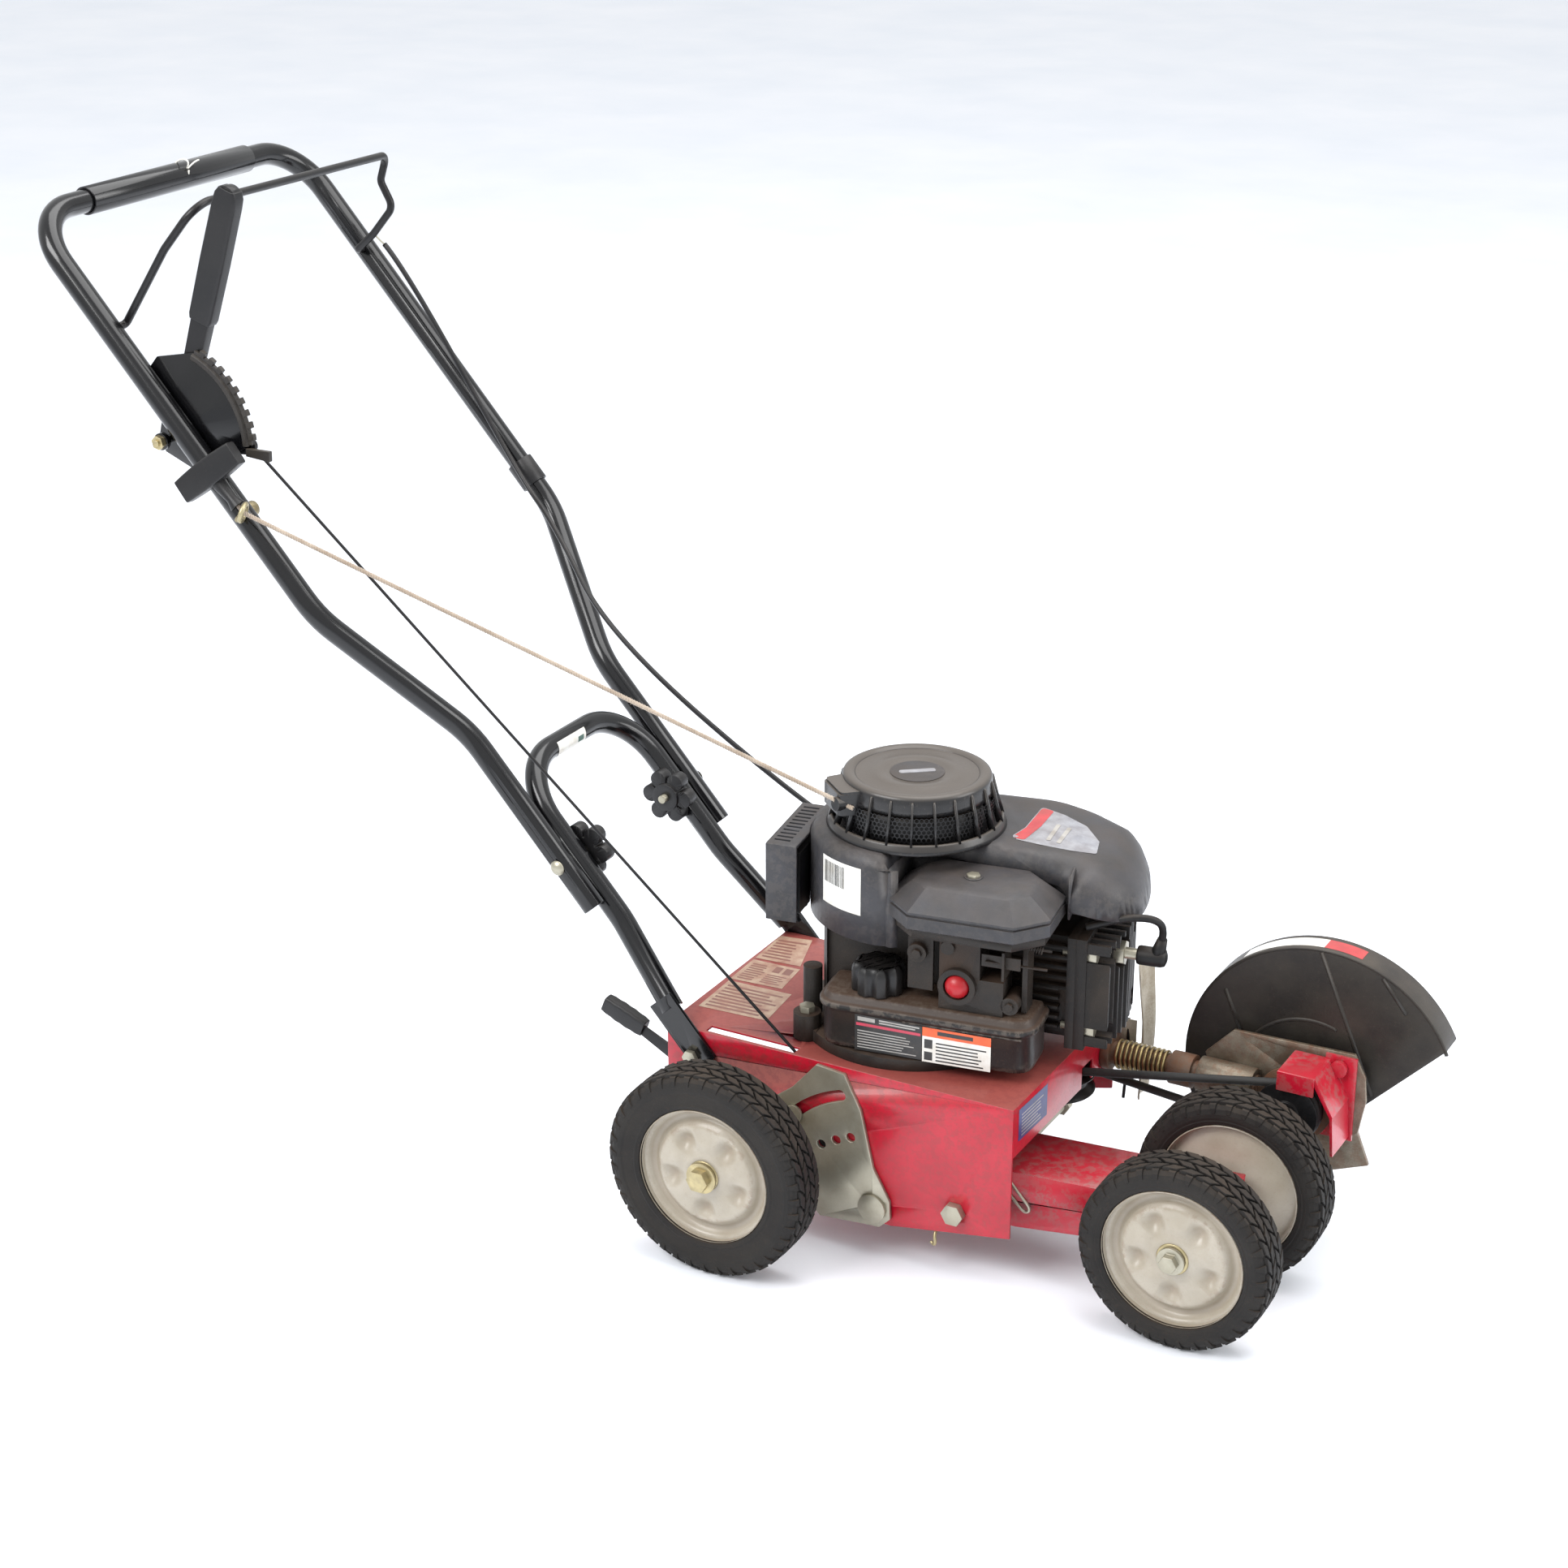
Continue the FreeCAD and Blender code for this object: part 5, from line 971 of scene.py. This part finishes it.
plug_boot = Builder()
plug_boot.turned([(5.5, 214), (8.2, 214), (9.0, 216), (9.0, 236), (7.6, 239.5), (4.0, 241), (0.01, 241.2)],
                 (0, -8, 292), (1, 0, 0), 32)
plug_boot.rod((231, -8, 290), (236.5, -10.3, 312), 8.0, 24, 4.6)
plug_boot.moved(ENGINE)
LEAD = [(235.5, -9.9, 308), (239, -14, 324), (232, -24, 337), (212, -32, 339), (190, -34, 332),
        (172, -34, 324)]
strip("plug_lead", engine_points(*LEAD), 3.5, "chassis", "soft_rubber", "soft_rubber", 12, "ignition_lead",
      plug_boot)

# toothed rim of the depth plate, its pivot nut and the lever's grip
PIVOT = Vector((-505, 705))
plate_rim = Builder()
plate_rim.loft(swept(PIVOT, 2, 70, ((81, -185.9), (83, -188.4), (87, -188.4), (89, -185.9))))
plate_rim.loft(swept(PIVOT, 3, 69, ((88.5, -186.6), (92.5, -187.2), (92.5, -183.7), (88.5, -183.7))))
TOOTH = ((91, -188.6), (91, -183.8), (97, -183.8), (97, -188.6))
for k in range(9):
    plate_rim.loft(swept(PIVOT, 6 + 6.9 * k, 9.6 + 6.9 * k, TOOTH, 4))
plate_rim.loft(swept(PIVOT, -4, 1, ((86, -188.6), (86, -184), (113, -184), (113, -188.6)), 4))
plate_rim.piece("quadrant_rim", "handle", "guard_black", slot="black_paint", edge=0.0005)
pivot_nut = Builder()
pivot_nut.rod((-505, -209.5, 705), (-505, -203.9, 705), 6.8, 6)
pivot_nut.rod((-505, -211.5, 705), (-505, -209.0, 705), 3.2, 20)
pivot_nut.piece("pivot_nut", "handle", "yellow_zinc", slot="zinc", edge=0.0004)
lever_low, lever_top = Vector((-478, 0, 785)), Vector((-427.6, 0, 933))
lever_along = (lever_top - lever_low).normalized()
lever_grip = Builder()
sections = []
for t, wide in ((0.22, 11.4), (0.25, 12.8), (0.6, 13.4), (0.96, 13.0), (1.02, 12.2), (1.06, 9.0)):
    middle = lever_low.lerp(lever_top, t)
    across = lever_along.cross(Vector(ACROSS))
    sections.append([middle + across * p.x + Vector((0, p.y - 177.4, 0)) for p in slab(wide, 7.6, 3.5)])
lever_grip.loft(sections)
lever_grip.piece("lever_grip", "lever", "grip_plastic", slot="grip_plastic", edge=0.0005)

flap = Builder()
rows = []
for i in range(25):
    t = i / 24
    row = []
    for s in (k / 4 for k in range(-4, 5)):
        x = 357 + 6 * math.sin(t * 2.4) + 4.5 * s * s + 0.5 * math.sin(9 * t + 3 * s)
        row.append((x, 126 + 17 * s * (1 - 0.35 * t) - 3 * t, 239 - 143 * t + 6 * s * (1 - t)))
    rows.append(row)
flap.loft(rows, closed=False, caps=False)
flap.box((331, 116, 150), (357, 118, 176))
flap_piece = flap.piece("flap_leaf", "chassis", "flap_sheet", "debris_flap")
flap_skin = flap_piece.modifiers.new("skin", "SOLIDIFY")
flap_skin.thickness = 0.0014

curb_knob = Builder()
sections = []
for k in range(9):
    t = -1 + k / 4
    high, deep = 8.9 - 1.0 * t * t + (0.6 if k % 2 else 0), 6.6 - 0.6 * t * t
    sections.append([(23.4 * t, p.x, p.y + 0.5) for p in slab(deep, high, 3.5)])
curb_knob.loft(sections)
curb_knob.moved(Matrix.Translation((-72, -110.5, 178)) @ Matrix.Rotation(math.radians(22), 4, "Y"))
curb_knob.piece("curb_knob", "curb_latch", "grip_plastic", slot="grip_plastic", edge=0.0006)

for name, (centre, radius, outward) in WHEELS.items():
    if name in ("rear_right", "front_right"):
        washer = Builder()
        face = centre[1] + outward * 22.6
        washer.turned([(8, 0.0), (8, 1.3), (12.5, 1.6), (14.6, 1.2), (15.2, 0.4), (15.0, 0.0)],
                      (centre[0], face - outward * 5.5, centre[2]), (0, outward, 0), 48)
        washer.piece(name + "_washer", name + "_wheel", "yellow_zinc", slot="zinc")

guard = Builder()
HUB = Vector((536, 158))


def guard_line(start, end):
    """A raised fold between two (x, z) points of the guard's wall."""
    start, end = Vector(start), Vector(end)
    along = (end - start).normalized()
    across = Vector((-along.y, along.x)) * 2.2
    corners = ((start, -1), (start, 1), (end, 1), (end, -1))
    rings = []
    for k, h in ((1.0, -0.5), (1.0, 0.0), (0.45, 0.9)):
        rings.append([(p.x, 122.0 - h, p.y) for p in (point + across * side * k for point, side in corners)])
    guard.loft(rings)


for ends in (((531, 286), (588, 153)), ((590, 273), (614, 243)), ((441, 228), (459.5, 188))):
    guard_line(*ends)
for r0, first, last in ((68, 70, 147), (42, 60, 120)):
    guard.loft(swept(Vector((527, 147)), first, last,
                     ((r0 - 2.4, 122.5), (r0 - 1.2, 121.2), (r0 + 1.2, 121.2), (r0 + 2.4, 122.5))))
guard.loft(swept(HUB, 24, 176, ((127.5, 122.3), (130.6, 121.2), (131.0, 123.5), (128, 124)), 90))
guard.piece("guard_ribs", "head", "guard_black", slot="guard_black")
for name, first, last, tone in (("guard_label", 92, 128, "label_white"),
                                ("guard_label_red", 76, 92, "label_red")):
    band = Builder()
    band.loft(swept(HUB, first, last, ((131.15, 127), (131.15, 145)), 14), closed=False, caps=False)
    band.piece(name, "head", tone, slot="guard_black")

low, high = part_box("handle_lower")
TUBE_RADIUS = 11.1
cross_label = Builder()
crossbar = Vector((low[0] / MM + TUBE_RADIUS, 0, high[2] / MM - TUBE_RADIUS))
arc = [math.radians(-60 + 100 * k / 10) for k in range(11)]
cross_label.loft([[(crossbar.x + 11.35 * math.cos(t), y, crossbar.z + 11.35 * math.sin(t)) for t in arc]
                  for y in (-34, -10, 14)], closed=False, caps=False)
cross_label.piece("crossbar_label", "chassis", "label_white", slot="black_paint")
cross_mark = Builder()
cross_mark.loft([[(crossbar.x + 11.5 * math.cos(t), y, crossbar.z + 11.5 * math.sin(t)) for t in arc[4:8]]
                 for y in (0, 10)], closed=False, caps=False)
cross_mark.piece("crossbar_mark", "chassis", "label_green", slot="black_paint")

# ---- floor, light and camera
FLOOR = 30000  # half the floor's side
floor_net = Net("floor")
floor_tone = floor_net.mix(floor_net.ramp(floor_net.noise(3.0, 5.0), 0.3, 0.7), colour(234, 238, 245),
                           colour(242, 244, 249))
M["floor"] = floor_net.finish(floor_tone, 0.55, floor_net.noise(40.0), 0.05)
ground = Builder()
ground.add([(x * FLOOR, y * FLOOR, -0.5) for x, y in ((-1, -1), (1, -1), (1, 1), (-1, 1))], [(0, 1, 2, 3)])
floor = loose(ground, "floor", "floor", smooth=False)

world = bpy.data.worlds.new("world")
SCENE.world = world
world.use_nodes = True
world.node_tree.nodes["Background"].inputs["Color"].default_value = (0.97, 0.985, 1.0, 1.0)
world.node_tree.nodes["Background"].inputs["Strength"].default_value = 0.95


def lamp(name, place, target, size, power):
    light = bpy.data.lights.new(name, "AREA")
    light.shape = "RECTANGLE"
    light.size, light.size_y = size
    light.energy = power
    holder = bpy.data.objects.new(name, light)
    holder.location = place
    holder.rotation_euler = (Vector(target) - Vector(place)).to_track_quat("-Z", "Y").to_euler()
    SCENE.collection.objects.link(holder)


lamp("key", (-1.2, -2.6, 3.0), (0, 0, 0.3), (2.4, 1.6), 120)
lamp("top", (0.4, 0.6, 3.4), (0, 0, 0.3), (3.4, 2.6), 105)
lamp("side", (3.0, 0.8, 1.8), (0.2, 0, 0.3), (1.6, 1.8), 50)

LOOK_DOWN, LOOK_ROUND = 22.404, 28.853
camera = bpy.data.cameras.new("camera")
camera.lens = 69.59
camera.sensor_width = 36.0
holder = bpy.data.objects.new("camera", camera)
holder.location = (1.305, -2.2972, 1.4793)
holder.rotation_euler = (math.radians(90 - LOOK_DOWN), 0, math.radians(LOOK_ROUND))
SCENE.collection.objects.link(holder)
SCENE.camera = holder
SCENE.view_settings.view_transform = "Standard"
